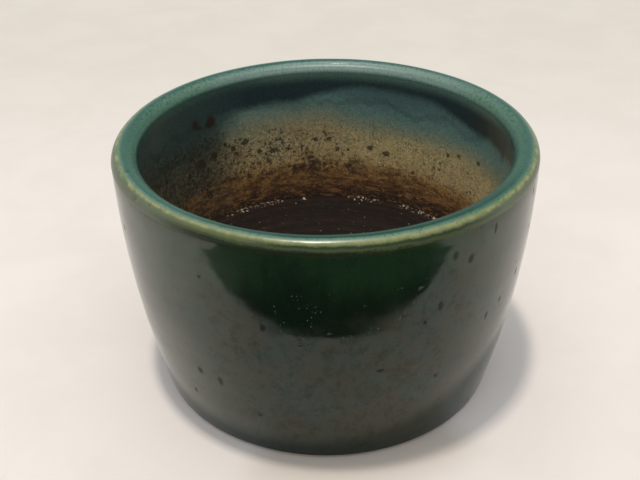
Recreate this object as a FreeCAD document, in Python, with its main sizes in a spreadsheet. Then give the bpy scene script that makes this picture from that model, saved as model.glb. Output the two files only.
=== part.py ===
"""Round bonsai pot with a raised floor: clay pieces, coats of glaze and drain fittings.

The pot stands on its foot ring at z = 0, with its axis on +Z.  Every length is in millimetres.

Clay pieces     pot_wall, floor_slab, seam_coil
Glaze coats     outer_glaze, lip_glaze, inner_glaze
Drain fittings  drain_screen, screen_wire
"""
import FreeCAD, Part
import math
import os

import Sketcher
from FreeCAD import Vector

SIZES = (
    ("rim_radius", 90.0, "outside radius at the shoulder, where the wall stands upright"),
    ("foot_taper", 13.5, "how far the glazed wall draws in from the shoulder to the ground"),
    ("shoulder_height", 109.0, "height at which the wall ends and the lip starts"),
    ("crest_round", 5.0, "radius over the top of the lip"),
    ("lip_slope", 50.0, "fall of the lip towards the mouth, in degrees"),
    ("nose_round", 2.5, "radius at the lip's inner edge"),
    ("seat_inset", 11.6, "from the rim's outside in to the rim of the floor slab"),
    ("belly_swell", 4.2, "how far the inner wall swells out above the floor slab"),
    ("belly_rise", 38.5, "height of that swell above the floor"),
    ("floor_height", 39.5, "height of the raised floor's top face"),
    ("slab_thickness", 8.0, "thickness of the floor slab"),
    ("ledge_width", 4.4, "width of the ledge that carries the slab"),
    ("ledge_depth", 9.0, "upright face of the ledge below the slab"),
    ("coil_leg", 4.5, "width and depth of the clay coil pressed under the slab"),
    ("foot_width", 9.0, "width of the foot ring, glaze included"),
    ("foot_bevel", 1.0, "bevel on both edges of the foot ring"),
    ("glaze_thickness", 0.6, "thickness of each glaze coat"),
    ("outer_glaze_line", 1.8, "height at which the outer glaze stops above the ground"),
    ("inner_glaze_drop", 21.0, "how far below the shoulder the inner glaze stops"),
    ("drain_round", 1.0, "rounding on the drain hole's upper edge"),
    ("drain_clearance", 0.75, "from each leg of the wire to the drain hole's wall"),
    ("screen_pitch", 3.5, "distance from one screen opening to the next"),
    ("screen_strand", 1.0, "width of a strand between two openings"),
    ("screen_openings", 11.0, "openings along one side of the screen, an odd number"),
    ("screen_thickness", 1.2, "thickness of the screen"),
    ("wire_radius", 0.75, "radius of the keeper wire"),
    ("wire_bend", 1.5, "bend radius of the wire, at its centreline"),
    ("leg_openings", 3.0, "screen openings from the middle to each leg of the wire"),
    ("tail_length", 13.0, "straight length of each wire end under the slab"),
    ("seat_gap", 0.1, "clearance under the screen and round the wire where they rest"),
)

START, END, CENTRE = 1, 2, 3
X_AXIS, Y_AXIS = -1, -2
ORIGIN = (X_AXIS, START)
SAME_RADIUS = 1e-6

document = FreeCAD.newDocument("bonsai_pot")
sheet = document.addObject("Spreadsheet::Sheet", "sizes")
for row, (alias, number, meaning) in enumerate(SIZES, start=1):
    sheet.set(f"A{row}", meaning)
    sheet.set(f"B{row}", str(number))
    sheet.setAlias(f"B{row}", alias)
document.recompute()


class Size:
    """A length as its formula over the sheet's cells, with the value that the formula has now."""

    def __init__(self, formula, value):
        self.formula = formula
        self.value = value

    def __add__(self, other):
        return Size(f"({self.formula} + {other.formula})", self.value + other.value)

    def __sub__(self, other):
        return Size(f"({self.formula} - {other.formula})", self.value - other.value)

    def __mul__(self, other):
        return Size(f"({self.formula} * {other.formula})", self.value * other.value)

    def __truediv__(self, other):
        return Size(f"({self.formula} / {other.formula})", self.value / other.value)

    def __neg__(self):
        return Size(f"(-{self.formula})", -self.value)


def size(name):
    """The size that a cell holds."""
    return Size(f"sizes.{name}", float(getattr(sheet, name)))


def arc_radius(swell, rise):
    """Radius of an arc that starts upright and moves sideways by swell over the height rise."""
    return (swell * swell + rise * rise) / (TWO * swell)


ZERO = Size("0", 0.0)
ONE = Size("1", 1.0)
TWO = Size("2", 2.0)
COAT = size("glaze_thickness")
SHOULDER = size("shoulder_height")
FOOT_RADIUS = size("rim_radius") - size("foot_taper")
WALL_ARC = arc_radius(size("foot_taper"), SHOULDER)
FLOOR = size("floor_height")
SLAB_RADIUS = size("rim_radius") - size("seat_inset")
SLAB_BASE = FLOOR - size("slab_thickness")
LEDGE_RADIUS = SLAB_RADIUS - size("ledge_width")
LEDGE_BASE = SLAB_BASE - size("ledge_depth")
FOOT_INSIDE = FOOT_RADIUS - size("foot_width")
BELLY_ARC = arc_radius(size("belly_swell"), size("belly_rise"))
BELLY_CENTRE = SLAB_RADIUS + size("belly_swell") - BELLY_ARC
BELLY_HEIGHT = FLOOR + size("belly_rise")
OUTER_GLAZE_LINE = size("outer_glaze_line")
INNER_GLAZE_LINE = SHOULDER - size("inner_glaze_drop")
LEG = size("leg_openings") * size("screen_pitch")
DRAIN_RADIUS = LEG + size("wire_radius") + size("drain_clearance")
SCREEN_SIDE = size("screen_openings") * size("screen_pitch") + size("screen_strand")


# ---------------------------------------------------------------- sketch helpers


def new_body(label, base=ZERO):
    """A PartDesign body that carries the node's name, with its origin at the height base."""
    body = document.addObject("PartDesign::Body", label)
    body.Label = label
    body.setExpression(".Placement.Base.z", base.formula)
    return body


def new_sketch(body, name, plane="XZ_Plane"):
    """A sketch on one of the body's own origin planes."""
    sketch = body.newObject("Sketcher::SketchObject", name)
    origin_plane = next(f for f in body.Origin.OriginFeatures if f.Role == plane)
    sketch.AttachmentSupport = [(origin_plane, "")]
    sketch.MapMode = "FlatFace"
    return sketch


def bind(sketch, kind, refs, length):
    """Adds a dimension that follows a size."""
    index = sketch.addConstraint(Sketcher.Constraint(kind, *refs, length.value))
    sketch.setExpression(f"Constraints[{index}]", length.formula)


def bind_point(sketch, point, x=None, y=None):
    """Ties an end point or centre to the origin."""
    if x:
        bind(sketch, "DistanceX", (*ORIGIN, *point), x)
    if y:
        bind(sketch, "DistanceY", (*ORIGIN, *point), y)


def join(sketch, *pairs):
    """Makes the two points of each pair meet."""
    for first, second in pairs:
        sketch.addConstraint(Sketcher.Constraint("Coincident", *first, *second))


def flow(sketch, *pairs):
    """Makes the two end points of each pair meet, running smoothly into each other."""
    for first, second in pairs:
        sketch.addConstraint(Sketcher.Constraint("Tangent", *first, *second))


def align(sketch, kind, *lines):
    """Makes lines Horizontal or Vertical."""
    for line in lines:
        sketch.addConstraint(Sketcher.Constraint(kind, line))


def add_line(sketch, start, end):
    """A straight edge between two points."""
    return sketch.addGeometry(Part.LineSegment(start, end), False)


def add_circle(sketch, radius, centre=None):
    """A full circle, round the origin unless a centre is given."""
    place = centre if centre else Vector()
    circle = sketch.addGeometry(Part.Circle(place, Vector(0, 0, 1), radius.value), False)
    bind(sketch, "Radius", (circle,), radius)
    return circle


def add_arc(sketch, centre, radius, first_angle, last_angle):
    """An arc drawn anticlockwise from first_angle to last_angle, in radians."""
    circle = Part.Circle(centre, Vector(0, 0, 1), radius.value)
    arc = sketch.addGeometry(Part.ArcOfCircle(circle, first_angle, last_angle), False)
    bind(sketch, "Radius", (arc,), radius)
    return arc


def close_with_line(sketch, first, second):
    """A straight edge from one end point to another."""
    line = add_line(sketch, sketch.getPoint(*first), sketch.getPoint(*second))
    join(sketch, (first, (line, START)), (second, (line, END)))


def angle_of(vector):
    """Direction of a vector in radians."""
    return math.atan2(vector.y, vector.x)


def add_wall_arc(sketch, skin, low):
    """The pot's outer curve, skin inside the finished glaze, from low up to the shoulder."""
    radius = WALL_ARC - skin
    centre = size("rim_radius") - WALL_ARC
    dip = math.asin((SHOULDER.value - low.value) / radius.value)
    arc = add_arc(sketch, Vector(centre.value, SHOULDER.value), radius, -dip, 0)
    bind_point(sketch, (arc, CENTRE), x=centre, y=SHOULDER)
    bind_point(sketch, (arc, START), y=low)
    sketch.addConstraint(Sketcher.Constraint("Horizontal", arc, CENTRE, arc, END))
    return arc


def add_mouth(sketch, skin, low, shoulder=None):
    """The lip and the inner wall, skin inside the finished glaze.

    The lip starts at the end point named by shoulder, or at the shoulder's own height and radius.
    Returns the crest arc, the slope line, the nose arc and the belly arc, each running smoothly
    into the next.  The belly arc ends at the height low.
    """
    crest_radius = size("crest_round") - skin
    crest_centre = size("rim_radius") - size("crest_round")
    nose_radius = size("nose_round") - skin
    belly_radius = BELLY_ARC - COAT + skin
    slope = math.radians(sheet.lip_slope)
    outward = Vector(-math.sin(slope), math.cos(slope))
    downhill = Vector(-math.cos(slope), -math.sin(slope))
    crest = Vector(crest_centre.value, SHOULDER.value)
    belly = Vector(BELLY_CENTRE.value, BELLY_HEIGHT.value)

    # The nose's centre lies down the slope from the crest, one nose radius off the belly's curve.
    near = crest + outward * (crest_radius - nose_radius).value
    reach = (belly_radius + nose_radius).value
    across = (near - belly).dot(downhill)
    run = -across - math.sqrt(across**2 - (near - belly).dot(near - belly) + reach**2)
    nose = near + downhill * run

    turned = math.pi / 2 + slope
    crest_arc = add_arc(sketch, crest, crest_radius, 0, turned)
    line = add_line(sketch, crest + outward * crest_radius.value, nose + outward * nose_radius.value)
    nose_arc = add_arc(sketch, nose, nose_radius, turned, angle_of(belly - nose) % (2 * math.pi))
    low_angle = math.asin((low.value - belly.y) / belly_radius.value)
    belly_arc = add_arc(sketch, belly, belly_radius, low_angle, angle_of(nose - belly))

    if shoulder:
        join(sketch, (shoulder, (crest_arc, START)))
    else:
        bind_point(sketch, (crest_arc, CENTRE), x=crest_centre, y=SHOULDER)
    sketch.addConstraint(Sketcher.Constraint("Horizontal", crest_arc, CENTRE, crest_arc, START))
    bind_point(sketch, (belly_arc, CENTRE), x=BELLY_CENTRE, y=BELLY_HEIGHT)
    bind_point(sketch, (belly_arc, START), y=low)
    flow(sketch, ((crest_arc, END), (line, START)), ((line, END), (nose_arc, START)),
         ((nose_arc, END), (belly_arc, END)))
    bind(sketch, "Angle", (X_AXIS, START, line, END), Size("sizes.lip_slope * 1 deg", slope))
    return crest_arc, line, nose_arc, belly_arc


def turn(body, sketch):
    """Revolves the sketch once round the pot's axis."""
    revolution = body.newObject("PartDesign::Revolution", body.Label + "_turned")
    revolution.Profile = sketch
    revolution.ReferenceAxis = (sketch, ["V_Axis"])
    revolution.Angle = 360
    sketch.Visibility = False


def pad_up(body, sketch, name, height):
    """Raises a solid from the sketch."""
    pad = body.newObject("PartDesign::Pad", name)
    pad.Profile = sketch
    pad.setExpression("Length", height.formula)
    document.recompute()


def cut_through(body, sketch, name):
    """Cuts the sketch right through the solid above it."""
    pocket = body.newObject("PartDesign::Pocket", name)
    pocket.Profile = sketch
    pocket.Type = "ThroughAll"
    pocket.Reversed = True
    document.recompute()
    return pocket


# ---------------------------------------------------------------- clay pieces


def build_pot_wall():
    """Wall, lip and foot ring, with a ledge turned inside to carry the floor slab."""
    sketch = new_sketch(new_body("pot_wall"), "wall_section")
    bevel = size("foot_bevel")
    outer = add_wall_arc(sketch, COAT, bevel)
    belly = add_mouth(sketch, COAT, FLOOR, shoulder=(outer, END))[-1]

    low_outer = sketch.getPoint(outer, START)
    corners = [
        sketch.getPoint(belly, START),
        Vector(SLAB_RADIUS.value, SLAB_BASE.value),
        Vector(LEDGE_RADIUS.value, SLAB_BASE.value),
        Vector(LEDGE_RADIUS.value, LEDGE_BASE.value),
        Vector(FOOT_INSIDE.value, bevel.value),
        Vector((FOOT_INSIDE + bevel).value, 0),
        Vector(low_outer.x - bevel.value, 0),
        low_outer,
    ]
    lines = [add_line(sketch, a, b) for a, b in zip(corners, corners[1:])]
    seat, ledge, apron, recess, inner_bevel, foot, outer_bevel = lines
    join(sketch, ((belly, START), (seat, START)), ((outer_bevel, END), (outer, START)))
    join(sketch, *(((a, END), (b, START)) for a, b in zip(lines, lines[1:])))
    align(sketch, "Vertical", seat, apron)
    align(sketch, "Horizontal", ledge, foot)
    bind_point(sketch, (ledge, START), y=SLAB_BASE)
    bind_point(sketch, (ledge, END), x=LEDGE_RADIUS)
    bind_point(sketch, (apron, END), y=LEDGE_BASE)
    bind_point(sketch, (recess, END), x=FOOT_INSIDE, y=bevel)
    bind(sketch, "DistanceX", (inner_bevel, START, inner_bevel, END), bevel)
    bind(sketch, "DistanceX", (outer_bevel, START, outer_bevel, END), bevel)
    sketch.addConstraint(Sketcher.Constraint("PointOnObject", foot, START, X_AXIS))
    turn(sketch.getParentGeoFeatureGroup(), sketch)


def build_floor_slab():
    """Raised floor, a disc on the wall's ledge with the drain hole through its middle."""
    body = new_body("floor_slab", SLAB_BASE)
    outline = new_sketch(body, "slab_outline", "XY_Plane")
    join(outline, ((add_circle(outline, SLAB_RADIUS), CENTRE), ORIGIN))
    pad_up(body, outline, "slab_pad", size("slab_thickness"))

    hole_outline = new_sketch(body, "drain_outline", "XY_Plane")
    join(hole_outline, ((add_circle(hole_outline, DRAIN_RADIUS), CENTRE), ORIGIN))
    hole = cut_through(body, hole_outline, "drain_hole")

    rounded = body.newObject("PartDesign::Fillet", "drain_edge")
    rounded.Base = (hole, [upper_edge(hole.Shape, DRAIN_RADIUS.value)])
    rounded.setExpression("Radius", size("drain_round").formula)


def upper_edge(shape, radius):
    """Name of the highest circular edge of the given radius."""
    rings = [
        (edge.CenterOfMass.z, f"Edge{number}")
        for number, edge in enumerate(shape.Edges, start=1)
        if isinstance(edge.Curve, Part.Circle) and abs(edge.Curve.Radius - radius) < SAME_RADIUS
    ]
    return max(rings)[-1]


def build_seam_coil():
    """Coil of clay pressed into the corner between the ledge and the underside of the slab."""
    body = new_body("seam_coil", SLAB_BASE)
    sketch = new_sketch(body, "coil_section")
    leg = size("coil_leg")
    corner = Vector(LEDGE_RADIUS.value, 0)
    across = Vector(leg.value, 0)
    down = Vector(0, leg.value)
    hollow = add_arc(sketch, corner - across - down, leg, 0, math.pi / 2)
    top = add_line(sketch, corner - across, corner)
    side = add_line(sketch, corner, corner - down)
    join(sketch, ((hollow, END), (top, START)), ((top, END), (side, START)),
         ((side, END), (hollow, START)))
    align(sketch, "Horizontal", top)
    align(sketch, "Vertical", side)
    sketch.addConstraint(Sketcher.Constraint("Vertical", hollow, CENTRE, hollow, END))
    sketch.addConstraint(Sketcher.Constraint("Horizontal", hollow, CENTRE, hollow, START))
    sketch.addConstraint(Sketcher.Constraint("PointOnObject", top, START, X_AXIS))
    bind_point(sketch, (top, END), x=LEDGE_RADIUS)
    turn(body, sketch)


# ---------------------------------------------------------------- glaze coats


def build_outer_glaze():
    """Coat on the outside of the wall, from just above the foot to the shoulder."""
    body = new_body("outer_glaze")
    sketch = new_sketch(body, "outer_coat_section")
    face = add_wall_arc(sketch, ZERO, OUTER_GLAZE_LINE)
    back = add_wall_arc(sketch, COAT, OUTER_GLAZE_LINE)
    close_with_line(sketch, (back, END), (face, END))
    close_with_line(sketch, (back, START), (face, START))
    turn(body, sketch)


def build_lip_glaze():
    """Coat rolled over the lip, from the shoulder to the lip's inner edge."""
    body = new_body("lip_glaze")
    sketch = new_sketch(body, "lip_coat_section")
    crest, _, nose, belly = add_mouth(sketch, ZERO, INNER_GLAZE_LINE)
    back_crest, _, back_nose, back_belly = add_mouth(sketch, COAT, INNER_GLAZE_LINE)
    close_with_line(sketch, (back_crest, START), (crest, START))
    close_with_line(sketch, (back_nose, END), (nose, END))
    for guide in (belly, back_belly):
        sketch.toggleConstruction(guide)
    turn(body, sketch)


def build_inner_glaze():
    """Coat on the upper part of the inner wall, from the lip down to its broken edge."""
    body = new_body("inner_glaze")
    sketch = new_sketch(body, "inner_coat_section")
    *lip, belly = add_mouth(sketch, ZERO, INNER_GLAZE_LINE)
    *back_lip, back_belly = add_mouth(sketch, COAT, INNER_GLAZE_LINE)
    close_with_line(sketch, (back_belly, END), (belly, END))
    close_with_line(sketch, (back_belly, START), (belly, START))
    for guide in (*lip, *back_lip):
        sketch.toggleConstruction(guide)
    turn(body, sketch)


# ---------------------------------------------------------------- drain fittings


def add_square(sketch, side, low):
    """A square with its lower left corner at low along both axes."""
    corner = Vector(low.value, low.value)
    right = Vector(side.value, 0)
    up = Vector(0, side.value)
    corners = [corner, corner + right, corner + right + up, corner + up]
    edges = [add_line(sketch, a, b) for a, b in zip(corners, corners[1:] + corners[:1])]
    join(sketch, *(((a, END), (b, START)) for a, b in zip(edges, edges[1:] + edges[:1])))
    bottom, right_edge, top, left_edge = edges
    align(sketch, "Horizontal", bottom, top)
    align(sketch, "Vertical", right_edge, left_edge)
    bind(sketch, "DistanceX", (bottom, START, bottom, END), side)
    bind(sketch, "DistanceY", (right_edge, START, right_edge, END), side)
    bind_point(sketch, (bottom, START), x=low, y=low)


def build_drain_screen():
    """Moulded plastic screen that lies over the drain hole and keeps the soil in."""
    body = new_body("drain_screen", FLOOR + size("seat_gap"))
    low = -SCREEN_SIDE / TWO
    outline = new_sketch(body, "screen_outline", "XY_Plane")
    add_square(outline, SCREEN_SIDE, low)
    pad_up(body, outline, "screen_pad", size("screen_thickness"))

    opening = new_sketch(body, "opening_outline", "XY_Plane")
    add_square(opening, size("screen_pitch") - size("screen_strand"), low + size("screen_strand"))
    pocket = cut_through(body, opening, "opening_cut")

    grid = body.newObject("PartDesign::MultiTransform", "opening_grid")
    grid.Originals = [pocket]
    steps = []
    for axis, name in (("H_Axis", "opening_columns"), ("V_Axis", "opening_rows")):
        step = body.newObject("PartDesign::LinearPattern", name)
        step.Direction = (opening, [axis])
        step.setExpression("Length", (size("screen_pitch") * (size("screen_openings") - ONE)).formula)
        step.setExpression("Occurrences", size("screen_openings").formula)
        steps.append(step)
    grid.Transformations = steps
    body.Tip = grid


def build_screen_wire():
    """Wire staple that holds the screen down.

    Its legs pass through the screen and the drain hole, and its ends are bent outwards under the
    slab.
    """
    body = new_body("screen_wire", SLAB_BASE)
    route = new_sketch(body, "wire_route")
    bend = size("wire_bend")
    radius = size("wire_radius")
    gap = size("seat_gap")
    bar_height = size("slab_thickness") + size("screen_thickness") + gap + gap + radius
    tail_height = -(gap + radius)
    tail_end = LEG + bend + size("tail_length")
    top = bar_height.value
    low = tail_height.value
    leg = LEG.value
    turn_in = bend.value
    quarter = math.pi / 2

    left_tail = add_line(route, Vector(-tail_end.value, low), Vector(-leg - turn_in, low))
    left_low = add_arc(route, Vector(-leg - turn_in, low + turn_in), bend, -quarter, 0)
    left_leg = add_line(route, Vector(-leg, low + turn_in), Vector(-leg, top - turn_in))
    left_high = add_arc(route, Vector(-leg + turn_in, top - turn_in), bend, quarter, 2 * quarter)
    bar = add_line(route, Vector(-leg + turn_in, top), Vector(leg - turn_in, top))
    right_high = add_arc(route, Vector(leg - turn_in, top - turn_in), bend, 0, quarter)
    right_leg = add_line(route, Vector(leg, top - turn_in), Vector(leg, low + turn_in))
    right_low = add_arc(route, Vector(leg + turn_in, low + turn_in), bend, 2 * quarter, 3 * quarter)
    right_tail = add_line(route, Vector(leg + turn_in, low), Vector(tail_end.value, low))
    flow(route, ((left_tail, END), (left_low, START)), ((left_low, END), (left_leg, START)),
         ((left_leg, END), (left_high, END)), ((left_high, START), (bar, START)),
         ((bar, END), (right_high, END)), ((right_high, START), (right_leg, START)),
         ((right_leg, END), (right_low, START)), ((right_low, END), (right_tail, START)))
    align(route, "Horizontal", left_tail, bar, right_tail)
    align(route, "Vertical", left_leg, right_leg)
    bind_point(route, (left_leg, START), x=-LEG)
    bind_point(route, (right_leg, START), x=LEG)
    bind_point(route, (bar, START), y=bar_height)
    bind_point(route, (left_tail, START), x=-tail_end, y=tail_height)
    bind_point(route, (right_tail, END), x=tail_end, y=tail_height)

    section = new_sketch(body, "wire_section", "YZ_Plane")
    section.setExpression(".AttachmentOffset.Base.z", (-tail_end).formula)
    wire = add_circle(section, radius, Vector(0, low))
    bind_point(section, (wire, CENTRE), y=tail_height)
    section.addConstraint(Sketcher.Constraint("PointOnObject", wire, CENTRE, Y_AXIS))
    document.recompute()
    pipe = body.newObject("PartDesign::AdditivePipe", "bent_wire")
    pipe.Profile = section
    pipe.Spine = (route, [])


# ---------------------------------------------------------------- build, check and write


def check_objects():
    """Stops the build at the first object that failed."""
    for item in document.Objects:
        if "Invalid" in item.State or "Error" in item.State:
            raise RuntimeError(f"{item.Name} failed: {item.State}")


def write_bodies():
    """Writes each body's solid to parts/LABEL.step."""
    os.makedirs("parts", exist_ok=True)
    for body in document.findObjects("PartDesign::Body"):
        shape = body.Shape
        if shape.isNull() or not shape.isValid() or not shape.Solids:
            raise RuntimeError(f"{body.Label} has no valid solid")
        shape.exportStep(f"parts/{body.Label}.step")
        print(f"{body.Label}: {len(shape.Solids)} solid, {shape.Volume / 1000:.2f} cm3")


build_pot_wall()
build_floor_slab()
build_seam_coil()
build_outer_glaze()
build_lip_glaze()
build_inner_glaze()
build_drain_screen()
build_screen_wire()
document.recompute()
check_objects()
write_bodies()
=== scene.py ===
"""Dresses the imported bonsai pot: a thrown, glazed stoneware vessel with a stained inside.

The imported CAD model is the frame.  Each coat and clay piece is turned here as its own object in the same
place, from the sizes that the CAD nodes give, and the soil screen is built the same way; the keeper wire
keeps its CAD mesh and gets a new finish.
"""
import logging
import math
from dataclasses import dataclass
from enum import Enum
from typing import Any, Callable, Optional, Sequence, Union

import bpy
import numpy as np
from mathutils import Matrix, Vector


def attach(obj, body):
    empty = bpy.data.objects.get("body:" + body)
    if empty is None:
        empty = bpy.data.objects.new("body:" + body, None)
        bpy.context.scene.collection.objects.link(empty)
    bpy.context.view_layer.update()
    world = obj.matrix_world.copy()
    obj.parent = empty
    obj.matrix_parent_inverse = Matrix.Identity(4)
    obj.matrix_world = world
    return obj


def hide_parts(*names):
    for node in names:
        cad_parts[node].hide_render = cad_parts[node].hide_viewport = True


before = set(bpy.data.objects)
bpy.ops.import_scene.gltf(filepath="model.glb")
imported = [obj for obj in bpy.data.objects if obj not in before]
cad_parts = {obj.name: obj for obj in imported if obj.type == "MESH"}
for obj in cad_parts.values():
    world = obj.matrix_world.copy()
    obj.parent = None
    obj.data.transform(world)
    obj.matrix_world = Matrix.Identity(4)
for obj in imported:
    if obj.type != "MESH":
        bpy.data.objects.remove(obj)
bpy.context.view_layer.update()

LOG = logging.getLogger("bonsai_pot")
MM = 0.001
FULL_TURN = 2.0 * math.pi
SEAM_IN_FRONT = -1.0
SEAM_BEHIND = 1.0
Colour = tuple[float, float, float]
Socket = bpy.types.NodeSocket
Value = Union["Term", Socket, float, int, bool, str, Sequence[float]]
Profile = list[tuple[float, float]]


class Plane(Enum):
    """Axis that a stack of straight ribs runs along."""

    ALONG_X = "x"
    ALONG_Y = "y"


# ---------------------------------------------------------------- node trees


def arithmetic(operation: str, swapped: bool = False) -> Callable[["Term", Value], "Term"]:
    """Makes one of Term's operators.

    Args:
        operation: the Math node's operation.
        swapped: whether the term is the second operand.

    Returns:
        The operator's method.
    """
    def method(term: "Term", other: Value) -> "Term":
        """Adds the Math node.

        Args:
            term: the term that the operator belongs to.
            other: the other operand.

        Returns:
            The result.
        """
        operands = (other, term) if swapped else (term, other)
        return term.graph.maths(operation, *operands)

    return method


@dataclass(frozen=True)
class Term:
    """A result in a node tree, whose operators add Math nodes.

    Attributes:
        graph: the graph that the nodes are added to.
        socket: the output socket.
    """

    graph: "Graph"
    socket: Socket

    __add__ = arithmetic("ADD")
    __radd__ = arithmetic("ADD", swapped=True)
    __sub__ = arithmetic("SUBTRACT")
    __rsub__ = arithmetic("SUBTRACT", swapped=True)
    __mul__ = arithmetic("MULTIPLY")
    __rmul__ = arithmetic("MULTIPLY", swapped=True)
    __truediv__ = arithmetic("DIVIDE")


class Graph:
    """Adds nodes to one tree and links them, for shaders and for Geometry Nodes alike."""

    def __init__(self, tree: bpy.types.NodeTree) -> None:
        """Keeps the tree.

        Args:
            tree: the node tree that every call adds to.
        """
        self.tree = tree

    def node(self, kind: str, inputs: Optional[dict[Any, Value]] = None, **settings: Any) -> Any:
        """Adds a node.

        Args:
            kind: the node's type identifier.
            inputs: value or socket for each input, by name or number.
            settings: properties to set before the inputs.

        Returns:
            The new node.
        """
        made = self.tree.nodes.new(kind)
        for name, value in settings.items():
            setattr(made, name, value)
        for name, value in (inputs or {}).items():
            self.feed(made.inputs[name], value)
        return made

    def feed(self, socket: Socket, value: Value) -> None:
        """Links a socket into an input, or sets the input's own value.

        Args:
            socket: the input.
            value: an output socket, or a plain value.
        """
        if isinstance(value, Term):
            value = value.socket
        if isinstance(value, bpy.types.NodeSocket):
            self.tree.links.new(value, socket)
        elif socket.type == "RGBA" and len(value) == 3:
            socket.default_value = (*value, 1.0)
        else:
            socket.default_value = value

    def term(self, kind: str, inputs: Optional[dict[Any, Value]] = None, result: Union[int, str] = 0,
             **settings: Any) -> Term:
        """Adds a node and takes one of its results.

        Args:
            kind: the node's type identifier.
            inputs: value or socket for each input, by name or number.
            result: the wanted output, by name or number.
            settings: properties to set before the inputs.

        Returns:
            The result.
        """
        return Term(self, self.node(kind, inputs, **settings).outputs[result])

    def maths(self, operation: str, *values: Value) -> Term:
        """One scalar operation.

        Args:
            operation: the Math node's operation.
            values: its operands.

        Returns:
            The result.
        """
        return self.term("ShaderNodeMath", dict(enumerate(values)), operation=operation)

    def vector(self, operation: str, *values: Value, scale: Optional[Value] = None) -> Term:
        """One vector operation.

        Args:
            operation: the Vector Math node's operation.
            values: its vector operands.
            scale: the factor of the SCALE operation.

        Returns:
            The vector result, or the number that LENGTH, DISTANCE and DOT_PRODUCT give.
        """
        inputs: dict[Any, Value] = dict(enumerate(values))
        if scale is not None:
            inputs["Scale"] = scale
        scalar = operation in ("LENGTH", "DISTANCE", "DOT_PRODUCT")
        return self.term("ShaderNodeVectorMath", inputs, "Value" if scalar else "Vector",
                         operation=operation)

    def combine(self, x: Value = 0.0, y: Value = 0.0, z: Value = 0.0) -> Term:
        """A vector from three numbers.

        Args:
            x: first component.
            y: second component.
            z: third component.

        Returns:
            The vector.
        """
        return self.term("ShaderNodeCombineXYZ", {0: x, 1: y, 2: z})

    def separate(self, vector: Value) -> tuple[Term, Term, Term]:
        """The three components of a vector.

        Args:
            vector: the vector.

        Returns:
            Its x, y and z.
        """
        parts = self.node("ShaderNodeSeparateXYZ", {0: vector}).outputs
        return Term(self, parts[0]), Term(self, parts[1]), Term(self, parts[2])

    def step(self, value: Value, low: Value, high: Value, to_low: float = 0.0,
             to_high: float = 1.0) -> Term:
        """A smooth step.

        Args:
            value: what is tested.
            low: where the step starts.
            high: where it ends.
            to_low: result before the step.
            to_high: result after it.

        Returns:
            The result.
        """
        return self.term("ShaderNodeMapRange", {0: value, 1: low, 2: high, 3: to_low, 4: to_high},
                         interpolation_type="SMOOTHSTEP")

    def noise(self, vector: Value, size: float, detail: float = 3.0, rough: float = 0.5,
              warp: float = 0.0) -> Term:
        """Noise between 0 and 1, centred on 0.5.

        Args:
            vector: position in millimetres.
            size: size of the largest features in millimetres.
            detail: number of octaves.
            rough: weight of the finer octaves.
            warp: distortion of the pattern.

        Returns:
            The noise.
        """
        return self.term("ShaderNodeTexNoise", {
            "Vector": vector, "Scale": 1.0 / size, "Detail": detail, "Roughness": rough,
            "Distortion": warp})

    def unrolled(self, place: Term, radius: float, seam: float) -> Term:
        """A turned wall laid flat: length round the axis and height.

        Args:
            place: position in millimetres.
            radius: the wall's usual radius in millimetres.
            seam: SEAM_IN_FRONT or SEAM_BEHIND.

        Returns:
            The flat position in millimetres.
        """
        x, y, z = self.separate(place)
        angle = self.maths("ARCTAN2", x, y * -seam)
        return self.combine(angle * radius, z, 0.0)

    def ragged(self, vector: Term, size: float, reach: float) -> Term:
        """Shifts a position at random, so that what is drawn from it has an uneven outline.

        Args:
            vector: position in millimetres.
            size: size of the unevenness in millimetres.
            reach: largest shift in millimetres.

        Returns:
            The shifted position.
        """
        cloud = self.term("ShaderNodeTexNoise", {"Vector": vector, "Scale": 1.0 / size, "Detail": 3.0}, 1)
        shift = self.vector("SUBTRACT", cloud, (0.5, 0.5, 0.5))
        return self.vector("ADD", vector, self.vector("SCALE", shift, scale=2.0 * reach))

    def spots(self, flat: Term, size: float, radius: float, share: Value, soft: float = 0.5) -> Term:
        """Round spots of differing size on some of the cells of a flat pattern.

        Args:
            flat: flat position in millimetres.
            size: usual distance between cells in millimetres.
            radius: radius of the largest spots in millimetres.
            share: share of the cells that carry a spot, from 0 to 1.
            soft: share of the radius over which a spot fades.

        Returns:
            1 inside a spot and 0 outside.
        """
        made = self.node("ShaderNodeTexVoronoi", {"Vector": flat, "Scale": 1.0 / size},
                         voronoi_dimensions="2D")
        distance = Term(self, made.outputs["Distance"]) * size
        kept = share - self.separate(made.outputs["Color"])[0]
        reach = self.step(kept, 0.0, 0.35, 0.35, 1.0) * radius
        near = distance / reach
        inside = self.step(near, 1.0 - soft, 1.0, 1.0, 0.0)
        return inside * self.maths("GREATER_THAN", kept, 0.0)

    def facing(self, place: Term, turn: float, wide: float, narrow: float) -> Term:
        """How nearly a point lies in one direction from the axis.

        Args:
            place: position in millimetres.
            turn: the direction in degrees.
            wide: angle from it in degrees at which the result reaches 0.
            narrow: angle at which it reaches 1.

        Returns:
            A number from 0 to 1.
        """
        x, y, _ = self.separate(place)
        flat = self.vector("NORMALIZE", self.combine(x, y, 0.0))
        towards = (math.cos(math.radians(turn)), math.sin(math.radians(turn)), 0.0)
        return self.step(self.vector("DOT_PRODUCT", flat, towards), math.cos(math.radians(wide)),
                         math.cos(math.radians(narrow)))

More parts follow.
